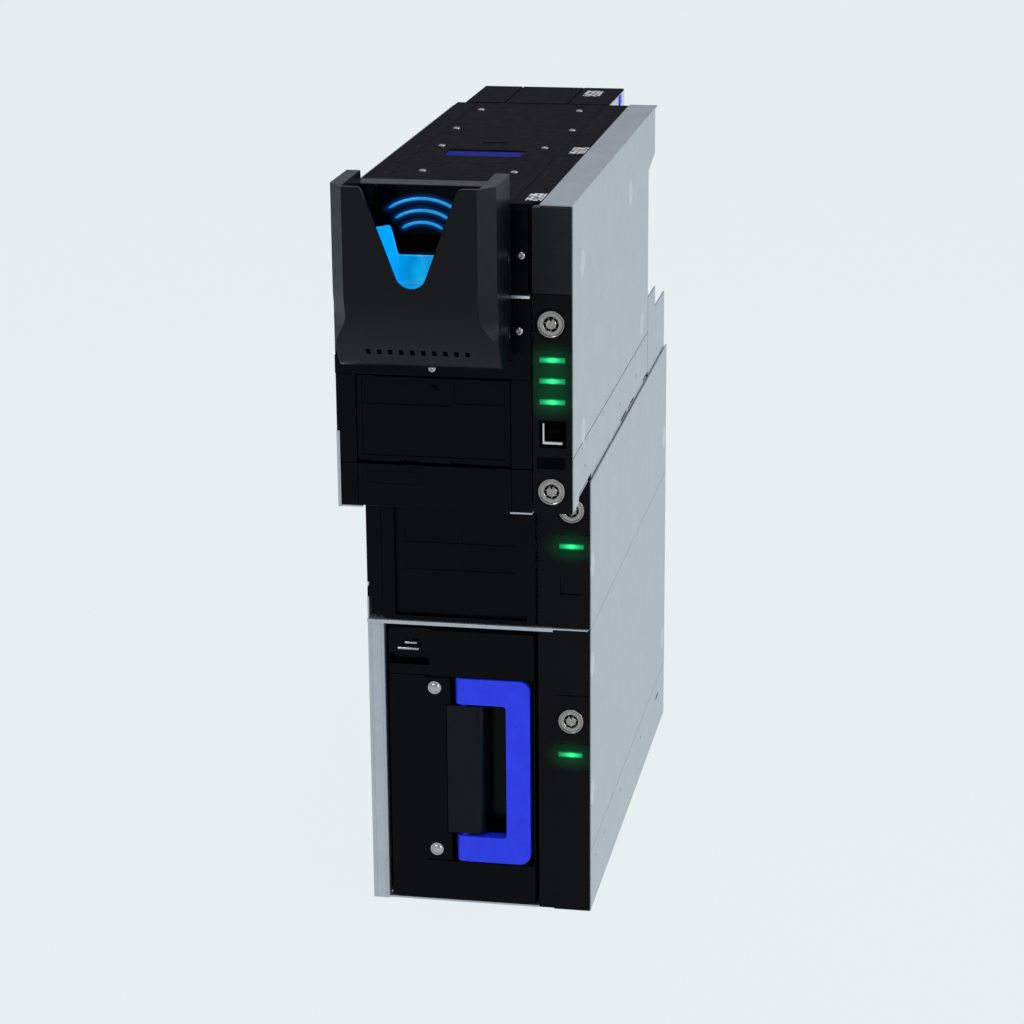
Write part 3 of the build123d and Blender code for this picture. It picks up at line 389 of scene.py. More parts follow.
# printed patch: dark cells and a line grid on white
def printedLabel(name):
    material, tree, shader, coords = newFinish(name)
    brick = tree.nodes.new("ShaderNodeTexBrick")
    brick.inputs["Scale"].default_value = 62.0
    brick.inputs["Mortar Size"].default_value = 0.06
    brick.inputs["Color1"].default_value = (0.88, 0.9, 0.92, 1)
    brick.inputs["Color2"].default_value = (0.62, 0.64, 0.66, 1)
    brick.inputs["Mortar"].default_value = (0.01, 0.01, 0.012, 1)
    tree.links.new(coords, brick.inputs["Vector"])
    mix = tree.nodes.new("ShaderNodeMix")
    mix.data_type = "RGBA"
    tree.links.new(spread(tree, noise(tree, coords, 420.0, 1.0), 0.0, 1.0, 0.55, 0.58), mix.inputs["Factor"])
    tree.links.new(brick.outputs["Color"], mix.inputs["A"])
    mix.inputs["B"].default_value = (0.015, 0.015, 0.018, 1)
    tree.links.new(mix.outputs["Result"], shader.inputs["Base Color"])
    # the patch also glows in its own colours: painted light that brightens it
    tree.links.new(mix.outputs["Result"], shader.inputs["Emission Color"])
    shader.inputs["Emission Strength"].default_value = 0.4
    shader.inputs["Roughness"].default_value = 0.5
    return material


bezelLow, bezelHigh = span("bezel")
guideLow, guideHigh = span("light_guide")
panelLow, panelHigh = span("signal_panel")
bezelMiddle = (guideLow.x + guideHigh.x) / 2
arcShape = {
    "centre": (bezelMiddle, panelLow.z - 18.0), "faceY": panelLow.y - 0.2, "radii": (43.0, 34.5, 26.0),
    "halfAngle": 34.0, "thick": 1.15, "steps": 32,
    # the panel's blue emission is painted light from the arcs
    "paintedArcGlow": (0.0, 0.04, 0.19, 1), "paintedArcGlowReach": 5.0, "paintedArcGlowPower": 1.8, "paintedArcGlowEnds": (-6, 7),
}

finishes = {
    "black": mouldedPlastic("blackPlastic", (0.0002, 0.0005, 0.0010), (0.0005, 0.0010, 0.0017),
                            0.27, 0.25, 0.062),
    "inner": mouldedPlastic("innerPlastic", (0.0005, 0.0005, 0.0007), (0.0010, 0.0011, 0.0014),
                            0.5, 0.25, 0.02),
    "blackGloss": mouldedPlastic("blackGlossPlastic", (0.0002, 0.0004, 0.0008), (0.0005, 0.0009, 0.0014),
                                 0.16, 0.1, 0.068),
    "column": paintedGlowColumn("columnPlastic", columnLook, lensShape),
    "bezel": mouldedPlastic("bezelPlastic", (0.0010, 0.0016, 0.0026), (0.0020, 0.0028, 0.0042),
                            0.35, 0.6, 0.145, 1500.0),
    "cover": mouldedPlastic("coverPlastic", (0.0062, 0.0056, 0.0086), (0.0106, 0.0098, 0.0138),
                            0.60, 0.35, 0.010),
    "steel": sheetSteel("galvanisedSheet", (0.40, 0.435, 0.475), (0.485, 0.525, 0.565), 0.46),
    # paler, smoother copy of the galvanised sheet for the pressed dimples: a painted highlight
    "steelPaintedGlint": sheetSteel("dimplePaintedGlint", (0.49, 0.53, 0.57), (0.58, 0.62, 0.66), 0.36),
    "steelBright": sheetSteel("brightSheet", (0.60, 0.65, 0.69), (0.72, 0.77, 0.80), 0.34),
    "nickel": polishedMetal("nickelPlate", (0.34, 0.33, 0.31), 0.22),
    "screw": polishedMetal("zincScrew", (0.46, 0.46, 0.45), 0.26),
    "brass": polishedMetal("brassPin", (0.72, 0.52, 0.24), 0.3),
    "blue": mouldedPlastic("bluePlastic", (0.010, 0.030, 0.74), (0.018, 0.042, 0.86), 0.30, 0.12, 0.28),
    "blueDeep": mouldedPlastic("blueLatchPlastic", (0.008, 0.012, 0.20), (0.013, 0.018, 0.26),
                               0.55, 0.2, 0.02),
    "slate": mouldedPlastic("slatePlastic", (0.0020, 0.0040, 0.0072), (0.0036, 0.0064, 0.0105),
                            0.42, 0.3, 0.10),
    "rubber": mouldedPlastic("rollerRubber", (0.01, 0.01, 0.01), (0.02, 0.02, 0.02), 0.75),
    "board": mouldedPlastic("boardGreen", (0.01, 0.10, 0.04), (0.02, 0.16, 0.06), 0.4, 0.2, 0.3),
    "white": mouldedPlastic("naturalPlastic", (0.5, 0.5, 0.47), (0.62, 0.62, 0.58), 0.45, 0.2, 0.3),
    "greenLens": litLens("greenLens", lensShape),
    "guide": litGuide("lightGuide", guideLook, bezelMiddle, guideLow.z, guideHigh.z),
    "arcs": litLine("signalArcs", [(0.3, (0.003, 0.18, 0.45)), (0.7, (0.006, 0.24, 0.54))], 600.0, 2.0, 0.2),
    "guideRim": litLine("guideRim", [(0.35, (0.0, 0.28, 0.72)), (0.65, (0.03, 0.50, 0.90))], 160.0, 3.0, 0.5),
    "signal": arcPanel("signalPanel", arcShape),
    "label": printedLabel("printedPatch"),
}

# which finish each carried-over piece takes, and how far its edges are rounded; pierced sheets keep theirs
wearers = {
    ("steel", 0): ["base_tray", "middle_left_wall", "middle_right_wall", "head_rail_panels", "head_tray"],
    ("steel", 0.25): ["left_wall_lower", "right_wall_lower", "rear_wall", "shelf_plate", "fixed_rails",
                      "middle_rails", "head_rails", "rear_posts", "head_left_panel", "head_right_panel"],
    ("black", 0.5): ["middle_frame", "front_jambs", "bottom_bar", "flap_door", "note_bed", "box_shell",
                     "pusher_plate", "cassette_front", "cassette_shell", "bezel_plate"],
    ("blackGloss", 1.0): ["box_front"],
    ("inner", 0.3): ["service_port"],
    ("cover", 0.4): ["head_rims", "front_cover", "main_cover", "rear_transport"],
    ("column", 0.5): ["lower_column", "middle_column", "head_column"],
    ("screw", 0.2): ["drive_motor"],
    ("greenLens", 0.3): ["bay_lenses", "head_lenses"],
    ("signal", 0.2): ["signal_panel"],
    ("rubber", 0.2): ["feed_shaft", "transport_shaft", "drive_belt"],
    ("blue", 1.9): ["box_handle"],
    ("blueDeep", 0.4): ["cover_latch"],
    ("slate", 0.6): ["handle_cover"],
    ("board", 0.1): ["control_board"],
    ("white", 0.3): ["motor_pulley", "front_drum", "rear_drum"],
}


# welds the split corners, then rounds the sharp edges
def roundEdges(piece, width, segments=2, angle=35.0):
    weld = piece.modifiers.new("weld", "WELD")
    weld.merge_threshold = 0.01 * mm
    bevel = piece.modifiers.new("roundEdges", "BEVEL")
    bevel.width = width * mm
    bevel.segments = segments
    bevel.limit_method = "ANGLE"
    bevel.angle_limit = math.radians(angle)
    bevel.harden_normals = True
    bevel.use_clamp_overlap = True


for (finish, width), names in wearers.items():
    for name in names:
        piece = nodes[name]
        piece.data.materials.clear()
        piece.data.materials.append(finishes[finish])
        if width:
            roundEdges(piece, width, 3 if width > 1 else 2)
print("carried-over pieces finished")


# turns a built mesh, in millimetres, into a piece that rides on a body
def placePiece(name, bm, body, finish, slotName, sharp=35.0):
    bmesh.ops.recalc_face_normals(bm, faces=bm.faces)
    mesh = bpy.data.meshes.new(name)
    bm.to_mesh(mesh)
    bm.free()
    mesh.transform(Matrix.Scale(mm, 4))
    mesh.materials.append(finishes[finish])
    mesh.shade_smooth()
    mesh.set_sharp_from_angle(angle=math.radians(sharp))
    piece = bpy.data.objects.new(name, mesh)
    bpy.context.scene.collection.objects.link(piece)
    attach(piece, body)
    return piece


# spins a profile of (radius, rise) pairs about an axis through a centre
def lathe(bm, profile, centre, outward, steps=48):
    turn = Vector(outward).to_track_quat("Z", "Y").to_matrix()
    rings = []
    for radius, rise in profile:
        count = 1 if radius == 0 else steps
        angles = (2 * math.pi * n / count for n in range(count))
        points = (Vector((radius * math.cos(a), radius * math.sin(a), rise)) for a in angles)
        rings.append([bm.verts.new(Vector(centre) + turn @ point) for point in points])
    for inner, outer in zip(rings, rings[1:]):
        for n in range(steps):
            m = (n + 1) % steps
            corners = [ring[k % len(ring)] for ring, k in ((inner, n), (inner, m), (outer, m), (outer, n))]
            bm.faces.new(list(dict.fromkeys(corners)))


# box between two faces on each axis, with softened edges
def softBox(bm, x, y, z, radius=0.4, segments=2):
    made = bmesh.ops.create_cube(bm, size=1.0)
    for v in made["verts"]:
        v.co = Vector([(low + high) / 2 + c * (high - low) for c, (low, high) in zip(v.co, (x, y, z))])
    edges = {e for v in made["verts"] for e in v.link_edges}
    if radius:
        bmesh.ops.bevel(bm, geom=list(edges), offset=radius, segments=segments, profile=0.5, affect="EDGES")


# straight prism: place puts an outline point on the near face (0) or the far one (1)
def prism(bm, outline, place):
    near = [bm.verts.new(place(a, b, 0)) for a, b in outline]
    far = [bm.verts.new(place(a, b, 1)) for a, b in outline]
    bm.faces.new(near)
    bm.faces.new(list(reversed(far)))
    for n in range(len(outline)):
        m = (n + 1) % len(outline)
        bm.faces.new((near[n], near[m], far[m], far[n]))


# applies the modifiers
def settle(piece):
    graph = bpy.context.evaluated_depsgraph_get()
    graph.update()
    mesh = bpy.data.meshes.new_from_object(piece.evaluated_get(graph))
    piece.modifiers.clear()
    piece.data = mesh


# cuts a closed shape out of a piece
def cutAway(piece, bm):
    bmesh.ops.recalc_face_normals(bm, faces=bm.faces)
    mesh = bpy.data.meshes.new("cutter")
    bm.to_mesh(mesh)
    bm.free()
    mesh.transform(Matrix.Scale(mm, 4))
    cutter = bpy.data.objects.new("cutter", mesh)
    bpy.context.scene.collection.objects.link(cutter)
    modifier = piece.modifiers.new("cut", "BOOLEAN")
    modifier.operation = "DIFFERENCE"
    modifier.solver = "EXACT"
    modifier.object = cutter
    settle(piece)
    bpy.data.objects.remove(cutter)


# eases from 0 to 1 as t goes from 0 to 1
def ease(t):
    t = min(1.0, max(0.0, t))
    return t * t * (3 - 2 * t)


bezelShape = {
    "left": bezelLow.x, "right": bezelHigh.x, "front": bezelLow.y, "back": bezelHigh.y, "top": bezelHigh.z,
    "low": bezelLow.z, "middle": bezelMiddle, "wall": panelHigh.y, "side": 10.0, "edge": 0.9,
    "brow": (0.0, 22.0, 47.0, 62.0), "chinTop": bezelHigh.z - 75.0, "chinLow": bezelLow.z + 6.0,
    "chinBack": 28.0, "chinBend": 1.6, "heel": 19.0,
    "foot": [(29.8, 3.8), (32.5, 2.0), (36.0, 1.0), (42.0, 0.4), (50.0, 0.2), (57.0, 2.2), (62.0, 5.6),
             (66.0, 11.0)],
    "chamfer": (11.0, 14.0), "chamferEnd": bezelLow.z + 19.0, "chamferFull": bezelLow.z + 45.0,
    "plainCorner": 0.35, "shoulderDrop": 31.0, "crownBack": 4.0,
    "mouthRadius": 11.5, "mouthSlope": 0.373, "mouthCorner": 3.4, "mouthCentre": bezelHigh.z - 60.0,
    "ventCount": 10, "ventPitch": 8.0, "ventSize": (3.2, 4.2), "ventRise": 15.0,
    "dentBack": 11.4, "dentLevels": (bezelHigh.z - 60.0, bezelLow.z + 21.5), "screwHole": (38.0, 23.0),
}


# side outline of the bezel: upright brow, curved chin, rounded foot
def bezelProfile(s):
    points = [(s["front"], s["top"] - drop) for drop in s["brow"]]
    for n in range(13):
        t = n / 12
        back = s["chinBack"] * t ** s["chinBend"]
        points.append((s["front"] + back, s["chinTop"] - (s["chinTop"] - s["chinLow"]) * t))
    points += [(s["front"] + back, s["low"] + rise) for back, rise in s["foot"]]
    points.append((s["back"], s["low"] + s["heel"]))
    return points


# the V of the mouth, round at its foot and at its upper corners
def mouthOutline(s):
    c, r, slope, corner = s["middle"], s["mouthRadius"], s["mouthSlope"], s["mouthCorner"]
    tilt = math.atan(slope)
    right = []
    for n in range(13):
        a = -math.pi / 2 + (math.pi / 2 - tilt) * n / 12
        right.append((r * math.cos(a), s["mouthCentre"] + r * math.sin(a)))
    edge = right[-1][0] + (s["top"] - right[-1][1]) * slope
    start = Vector((edge - corner * math.sin(tilt), s["top"] - corner * math.cos(tilt)))
    peak, end = Vector((edge, s["top"])), Vector((edge + corner, s["top"]))
    for n in range(9):
        t = n / 8
        right.append(tuple(start * (1 - t) ** 2 + peak * 2 * t * (1 - t) + end * t * t))
    right.append((edge + corner, s["top"] + 12))
    return [(c + x, z) for x, z in right] + [(c - x, z) for x, z in reversed(right[1:])]


# the bezel before its openings are cut, with front corners that lose their chamfer towards the foot
def bezelBlock(s):
    bm = bmesh.new()
    rows = []
    for y, z in bezelProfile(s):
        t = ease((z - s["chamferEnd"]) / (s["chamferFull"] - s["chamferEnd"]))
        cx, cy = (s["plainCorner"] + (full - s["plainCorner"]) * t for full in s["chamfer"])
        rows.append([bm.verts.new(p) for p in ((s["left"], y + cy, z), (s["left"] + cx, y, z),
                                                (s["right"] - cx, y, z), (s["right"], y + cy, z))])
    for a, b in zip(rows, rows[1:]):
        for n in range(3):
            bm.faces.new((a[n], a[n + 1], b[n + 1], b[n]))
    backLeft, topLeft, backRight, topRight = (
        bm.verts.new((x, y, z)) for x in (s["left"], s["right"])
        for y, z in ((s["back"], s["top"] - s["shoulderDrop"]), (s["back"] - s["crownBack"], s["top"])))
    bm.faces.new([row[0] for row in rows] + [backLeft, topLeft])
    bm.faces.new([row[3] for row in rows] + [backRight, topRight])
    bm.faces.new([*rows[0], topRight, topLeft])
    bm.faces.new([backLeft, backRight, topRight, topLeft])
    bm.faces.new([*rows[-1], backRight, backLeft])
    return placePiece("bezelShell", bm, "head", "bezel", "black_plastic")


def hollowCutters(s):
    left, right, behind = s["left"] + s["side"], s["right"] - s["side"], s["back"] + 10.0
    hollows = [
        ((left, right), (s["front"] + 3.0, s["wall"]), (s["top"] - 80.0, s["top"] + 33.0), 3.0),
        ((left, right), (s["wall"] - 7.0, behind), (s["top"] - 6.0, s["top"] + 33.0), 0),
        ((left + 7.0, right - 7.0), (s["wall"] - 3.0, behind), (s["top"] - 54.0, s["top"] - 41.0), 0),
        ((left + 3.0, right - 3.0), (s["wall"] + 4.0, behind), (s["low"] + 18.0, s["top"] - 83.0), 0),
    ]
    for x, y, z, radius in hollows:
        bm = bmesh.new()
        softBox(bm, x, y, z, radius, 3)
        yield bm


def mouthCutter(s):
    bm = bmesh.new()
    ends = (s["front"] + 4.5, s["front"] - 6.0)
    prism(bm, mouthOutline(s), lambda a, b, far: Vector((a, ends[far], b)))
    return bm


def ventCutter(s):
    bm = bmesh.new()
    width, height = s["ventSize"]
    rise = s["low"] + s["ventRise"]
    for n in range(s["ventCount"]):
        middle = s["middle"] + s["ventPitch"] * (n - (s["ventCount"] - 1) / 2)
        x = (middle - width / 2, middle + width / 2)
        softBox(bm, x, (s["front"] + 7.0, s["front"] + 33.0), (rise - height / 2, rise + height / 2), 0)
        softBox(bm, x, (s["front"] + 35.0, s["front"] + 42.0), (s["low"] - 8.0, s["low"] + 6.0), 0)
    return bm


# two shallow dents and a screw hole in the bezel's right side
def dentCutter(s):
    bm = bmesh.new()
    dent = [(0, -0.6), (3.9, -0.5), (5.5, 1.0), (5.5, 2.0), (0, 2.0)]
    for level in s["dentLevels"]:
        lathe(bm, dent, (s["right"], s["back"] - s["dentBack"], level), (1, 0, 0), 32)
    back, rise = s["screwHole"]
    hole = [(0, -5), (3.4, -5), (3.4, 2), (0, 2)]
    lathe(bm, hole, (s["right"], s["front"] + back, s["low"] + rise), (1, 0, 0), 32)
    return bm


def buildBezel(s):
    piece = bezelBlock(s)
    for cutter in [*hollowCutters(s), mouthCutter(s), ventCutter(s), dentCutter(s)]:
        cutAway(piece, cutter)
    roundEdges(piece, s["edge"], 3, 32.0)
    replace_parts(piece, "bezel")


buildBezel(bezelShape)
print("bezel built")

guideShape = {
    "middle": bezelMiddle, "backY": guideHigh.y - 1.5, "frontY": guideLow.y + 1.4,
    "flat": 16.6, "root": 22.4, "reach": 30.2, "turn": 3.6, "bowl": 9.0,
    "top": guideHigh.z - 26.0, "shoulder": guideHigh.z - 4.0, "tip": guideHigh.z - 0.6,
    "floor": guideLow.z + 1.6, "thick": 2.2, "edge": 0.6, "rim": 0.45,
}


# round bar along a path, with its own radius at each point
def tube(bm, path, radii, sides=8):
    rings = []
    for n, (point, radius) in enumerate(zip(path, radii)):
        ahead = (path[min(n + 1, len(path) - 1)] - path[max(n - 1, 0)]).normalized()
        across = ahead.cross(Vector((0, 1, 0))).normalized()
        other = ahead.cross(across)
        turns = (2 * math.pi * k / sides for k in range(sides))
        spokes = (across * math.cos(turn) + other * math.sin(turn) for turn in turns)
        rings.append([bm.verts.new(point + radius * spoke) for spoke in spokes])
    for a, b in zip(rings, rings[1:]):
        for k in range(sides):
            m = (k + 1) % sides
            bm.faces.new((a[k], a[m], b[m], b[k]))
    bm.faces.new(rings[0])
    bm.faces.new(list(reversed(rings[-1])))


# top line of the guide from its left tip to its right one: flat, then swept forward, rising to rounded fins
def guideLine(s):
    points = []
    for n in range(101):
        u = -1 + 2 * n / 100
        a = abs(u)
        x, y = s["flat"] * a / 0.3, s["backY"]
        if a >= 0.5:
            t = (a - 0.5) / 0.5
            x = s["root"] + (s["reach"] - s["root"]) * t
            y = s["backY"] - s["turn"] + (s["frontY"] - s["backY"] + s["turn"]) * t
        elif a >= 0.3:
            t = (a - 0.3) / 0.2
            x = s["flat"] + (s["root"] - s["flat"]) * t
            y = s["backY"] - s["turn"] * t * t
        top = s["top"] + (s["shoulder"] - s["top"]) * ease((a - 0.29) / 0.24)
        if a > 0.53:
            top += (s["tip"] - s["shoulder"]) * (a - 0.53) / 0.47
        points.append((math.copysign(x, u), y, top))
    return points


# one upright strip of the guide: down its face, round its bowl and on to its front lip
def guideStrip(s, x, y, top):
    bowl = s["bowl"]
    strip = [(s["middle"] + x, y, top - (top - s["floor"] - bowl) * k / 6) for k in range(7)]
    depth = min(bowl, y - s["frontY"] + 0.01)
    for k in range(1, 7):
        a = math.pi / 2 * k / 6
        strip.append((s["middle"] + x * (1 - 0.03 * k / 6), y - depth * (1 - math.cos(a)),
                      s["floor"] + bowl - bowl * math.sin(a)))
    strip.append((s["middle"] + x * 0.93, min(y - 0.2, s["frontY"] + 0.4), s["floor"] - 0.2))
    return strip


def buildGuide(s):
    line = guideLine(s)
    bm = bmesh.new()
    grid = [[bm.verts.new(point) for point in guideStrip(s, *place)] for place in line]
    for a, b in zip(grid, grid[1:]):
        for k in range(len(a) - 1):
            bm.faces.new((a[k], b[k], b[k + 1], a[k + 1]))
    rim = bmesh.new()
    path = [Vector((s["middle"] + x, y - s["thick"] / 2, top)) for x, y, top in line[8:-8]]
    tube(rim, path, [s["rim"]] * len(path))
    placePiece("guideRim", rim, "head", "guideRim", "light_guide", 60)
    piece = placePiece("glowGuide", bm, "head", "guide", "light_guide", 60)
    thicken = piece.modifiers.new("thicken", "SOLIDIFY")
    thicken.thickness = s["thick"] * mm
    thicken.offset = 0.0
    rounding = piece.modifiers.new("roundEdges", "BEVEL")
    rounding.width = s["edge"] * mm
    rounding.segments = 2
    rounding.limit_method = "ANGLE"
    rounding.angle_limit = math.radians(50)
    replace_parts(piece, "light_guide")


# three light arcs, thinner at their ends, and the rib at the panel's left edge
def buildArcs(s):
    bm = bmesh.new()
    steps = s["steps"]
    angles = [math.radians(-s["halfAngle"] + 2 * s["halfAngle"] * n / steps) for n in range(steps + 1)]
    radii = [s["thick"] * min(1.0, 0.45 + 8.0 * min(n, steps - n) / steps) for n in range(steps + 1)]
    x, z = s["centre"]
    for arc in s["radii"]:
        tube(bm, [Vector((x + arc * math.sin(a), s["faceY"], z + arc * math.cos(a))) for a in angles], radii)
    placePiece("signalArcs", bm, "head", "arcs", "light_guide", 60)
    rib = bmesh.new()
    softBox(rib, (panelLow.x - 2.0, panelLow.x), (panelLow.y - 1.0, panelHigh.y - 0.2),
            (panelLow.z, panelHigh.z + 0.6), 0.4)
    placePiece("signalRib", rib, "head", "blackGloss", "signal_panel")


buildGuide(guideShape)
buildArcs(arcShape)
print("mouth lights built")

# profiles are (radius, rise) pairs about the lock's axis, and boxes are offsets from its centre
lockShape = {
    "ring": [(5.08, -12.0), (5.08, -0.9), (5.5, -0.1), (5.75, 0.15), (6.2, 0.15), (6.4, 0.0), (8.1, 0.05),
             (8.3, -0.35), (8.6, -0.35), (8.8, 0.35), (9.2, 0.55), (9.7, 0.5), (9.95, 0.2), (10.0, -0.4),
             (10.0, -1.4), (9.0, -1.5), (9.0, -17.0), (5.08, -17.0), (5.08, -12.0)],
    "plug": [(0, 0.1), (1.1, 0.1), (1.3, -0.05), (2.5, -0.05), (2.7, 0.1), (3.5, 0.1), (3.85, -0.2),
             (3.9, -1.8), (4.9, -1.8), (4.98, -0.9), (5.0, -1.2), (5.0, -19.0), (0, -19.0)],
    "pin": [(0, 0.4), (0.3, 0.35), (0.38, 0.1), (0.38, -0.6), (0, -0.6)],
    "shade": [(3.95, -0.7), (4.95, -0.7), (4.95, -1.6), (3.95, -1.6), (3.95, -0.7)],
    "well": [(10.1, -0.6), (10.15, 0.05), (10.6, 0.5), (11.2, 0.6), (11.7, 0.35), (11.9, -0.1), (11.9, -0.6),
             (10.1, -0.6)],
    "pinCount": 7, "pinCircle": 4.42, "pinDepth": 0.95,
    "cam": ((-5, 5), (19.2, 21.2), (-5, 20)), "camNut": ((-1.2, 1.2), (18.5, 20), (-1.2, 1.2)),
    "notch": ((-0.7, 0.7), (-2, 1.2), (2.4, 6.5)), "keyway": ((-0.75, 0.75), (-0.14, 1.5), (2.3, 4.9)),
    "face": 0.4, "radius": 5.0,
}
lockNodes = [
    ("lower_lock_plug", "lower_lock", "chassis"), ("middle_lock_plug", "middle_lock", "chassis"),
    ("upper_head_lock_plug", "upper_head_lock", "head"), ("lower_head_lock_plug", "lower_head_lock", "head"),
]
forward = (0, -1, 0)


# span from one offset to another off a base
def reach(base, first, last):
    return base + first, base + last


def lockCentre(node):
    low, high = span(node)
    return Vector(((low.x + high.x) / 2, low.y + lockShape["face"], low.z + lockShape["radius"]))


def boxAbout(bm, centre, sides, radius, segments=2):
    softBox(bm, *(reach(at, *side) for at, side in zip(centre, sides)), radius, segments)


def buildPlug(s, node, body):
    centre = lockCentre(node)
    bm = bmesh.new()
    lathe(bm, s["plug"], centre, forward)
    boxAbout(bm, centre, s["cam"], 0.4)
    boxAbout(bm, centre, s["camNut"], 0)
    plug = placePiece(body + "Face", bm, body, "nickel", "nickel", 25)
    notch = bmesh.new()
    boxAbout(notch, centre, s["notch"], 0)
    cutAway(plug, notch)
    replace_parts(plug, node)
    pins = bmesh.new()
    for k in range(s["pinCount"]):
        a = math.radians(90 + 360 * (k + 0.5) / s["pinCount"])
        offset = Vector((s["pinCircle"] * math.cos(a), s["pinDepth"], s["pinCircle"] * math.sin(a)))
        lathe(pins, s["pin"], centre + offset, forward, 12)
    placePiece(body + "Pins", pins, body, "brass", "nickel", 40)
    # a dark ring deep in the groove round the plug and a dark block in its key slot: painted shade
    dark = bmesh.new()
    lathe(dark, s["shade"], centre, forward)
    boxAbout(dark, centre, s["keyway"], 0.1, 1)
    placePiece(body + "LockPaintedShade", dark, body, "inner", "nickel", 40)


# the same ring about every lock that a body holds
def lockRings(profile, holder):
    bm = bmesh.new()
    for node, _, owner in lockNodes:
        if owner == holder:
            lathe(bm, profile, lockCentre(node), forward, 64)
    return bm


def buildLocks(s):
    for node, body, _ in lockNodes:
        buildPlug(s, node, body)
    for holder, node in (("chassis", "bay_lock_bodies"), ("head", "head_lock_bodies")):
        ring = placePiece(holder + "LockRings", lockRings(s["ring"], holder), holder, "nickel", "nickel", 25)
        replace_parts(ring, node)


buildLocks(lockShape)
print("locks built")


# the same turned head at several places, as one piece
def studRow(name, profile, places, outward, body, finish="screw", replaced=(), steps=24):
    bm = bmesh.new()
    for place in places:
        lathe(bm, profile, place, outward, steps)
    piece = placePiece(name, bm, body, finish, "bright_steel", 30)
    if replaced:
        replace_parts(piece, *replaced)


screwLow, screwHigh = span("bezel_screws")
coverLow, coverHigh = span("cover_screws")
studLow, studHigh = span("box_studs")
sidePlane = span("head_right_panel")[1].x
upward, rightward = (0, 0, 1), (1, 0, 0)

screwShape = {
    "plateHead": [(0, 0.35), (0.9, 0.35), (1.15, 1.25), (1.5, 1.35), (2.2, 1.15), (2.75, 0.6), (3.0, 0.0),
                  (3.0, -0.4), (0, -0.4)],
    "coverHead": [(0, -0.1), (0.8, -0.1), (1.0, 0.95), (1.5, 1.05), (2.3, 0.85), (2.9, 0.4), (3.0, 0.0),
                  (3.0, -0.4), (0, -0.4)],
    "sunkHead": [(0, -1.2), (2.2, -1.2), (2.6, -1.6), (3.1, -2.4), (3.1, -5.0), (0, -5.0)],
    "plateAt": [(screwHigh.x - 3, screwHigh.y, screwHigh.z - 3),
                (screwHigh.x - 4.6, screwLow.y + 1.6, screwHigh.z - 58),
                (screwLow.x + 3, screwLow.y + 1.6, screwLow.z + 3)],
    "coverAt": [(coverLow.x + 5, coverHigh.y - 7), (coverHigh.x - 13, coverHigh.y - 3), (coverLow.x + 3, 12),
                (coverHigh.x - 3, 14), (coverLow.x + 8, coverLow.y + 3), (coverHigh.x - 11, coverLow.y + 3)],
    "frontCoverAt": [(-47, -183), (23, -180.5)],
    "sunkAt": [(bezelHigh.x, bezelLow.y + 38, bezelLow.z + 23)],
}
studShape = {
    "head": [(0, 2.1), (1.4, 2.0), (2.6, 1.7), (3.5, 1.2), (4.0, 0.55), (4.4, 0.5), (5.2, 0.55), (5.4, 0.0),
             (5.4, -0.6), (0, -0.6)],
    "at": [((studLow.x + studHigh.x) / 2, studHigh.y, z) for z in (studLow.z + 5.2, studHigh.z - 5.2)],
}
# pressed dimples and small rivets of the right side, placed at (y, z)
sideShape = {
    "dimple": [(0, 0.12), (1.6, 0.12), (2.2, 0.3), (3.2, 0.5), (4.6, 0.5), (6.6, 0.34), (8.4, 0.16),
               (9.8, 0.02), (9.8, -0.3), (0, -0.3)],
    "rivet": [(0, -0.1), (0.8, -0.15), (1.15, -0.5), (1.15, -1.1), (0, -1.1)],
    "headDimples": [(-262.6, 533), (-12, 538), (58.6, 413), (-258, 406)],
    "bayDimples": [(-213, 286), (211, 272), (-213.5, 205), (-213.5, 98), (209, 79)],
    "rivetLine": (-264, -241, -52, 23, 60, 79), "rivetLevel": 392,
}


def buildFasteners(screws, studs, side):
    mainScrews = [(x, y, coverLow.z) for x, y in screws["coverAt"]]
    frontScrews = [(x, y, coverLow.z) for x, y in screws["frontCoverAt"]]
    studRow("plateScrewHeads", screws["plateHead"], screws["plateAt"], forward, "head",
            replaced=["bezel_screws"])
    studRow("coverScrewHeads", screws["coverHead"], mainScrews, upward, "main_lid", replaced=["cover_screws"])
    studRow("frontCoverScrewHeads", screws["coverHead"], frontScrews, upward, "front_lid")
    studRow("boxStudHeads", studs["head"], studs["at"], forward, "cash_box", replaced=["box_studs"], steps=40)
    studRow("bezelSideScrew", screws["sunkHead"], screws["sunkAt"], rightward, "head")
    # the dimples take the paler sheet, a painted highlight on the side
    for name, body, spots in (("headSideSpots", "head", side["headDimples"]),
                              ("baySideSpots", "chassis", side["bayDimples"])):
        places = [(sidePlane, y, z) for y, z in spots]
        studRow(name, side["dimple"], places, rightward, body, "steelPaintedGlint", steps=48)
    rivets = [(sidePlane, y, side["rivetLevel"]) for y in side["rivetLine"]]
    studRow("headSideRivets", side["rivet"], rivets, rightward, "head", steps=16)


buildFasteners(screwShape, studShape, sideShape)
print("fasteners built")

# raised dark rim about each lock
for holder in ("chassis", "head"):
    well = lockRings(lockShape["well"], holder)
    placePiece(holder + "LockWells", well, holder, "blackGloss", "black_plastic", 40)


# soft-edged boxes as one piece; each box is its x, y and z span and its edge radius
def boxPiece(name, body, finish, slotName, boxes):
    bm = bmesh.new()
    for box in boxes:
        softBox(bm, *box)
    placePiece(name, bm, body, finish, slotName)


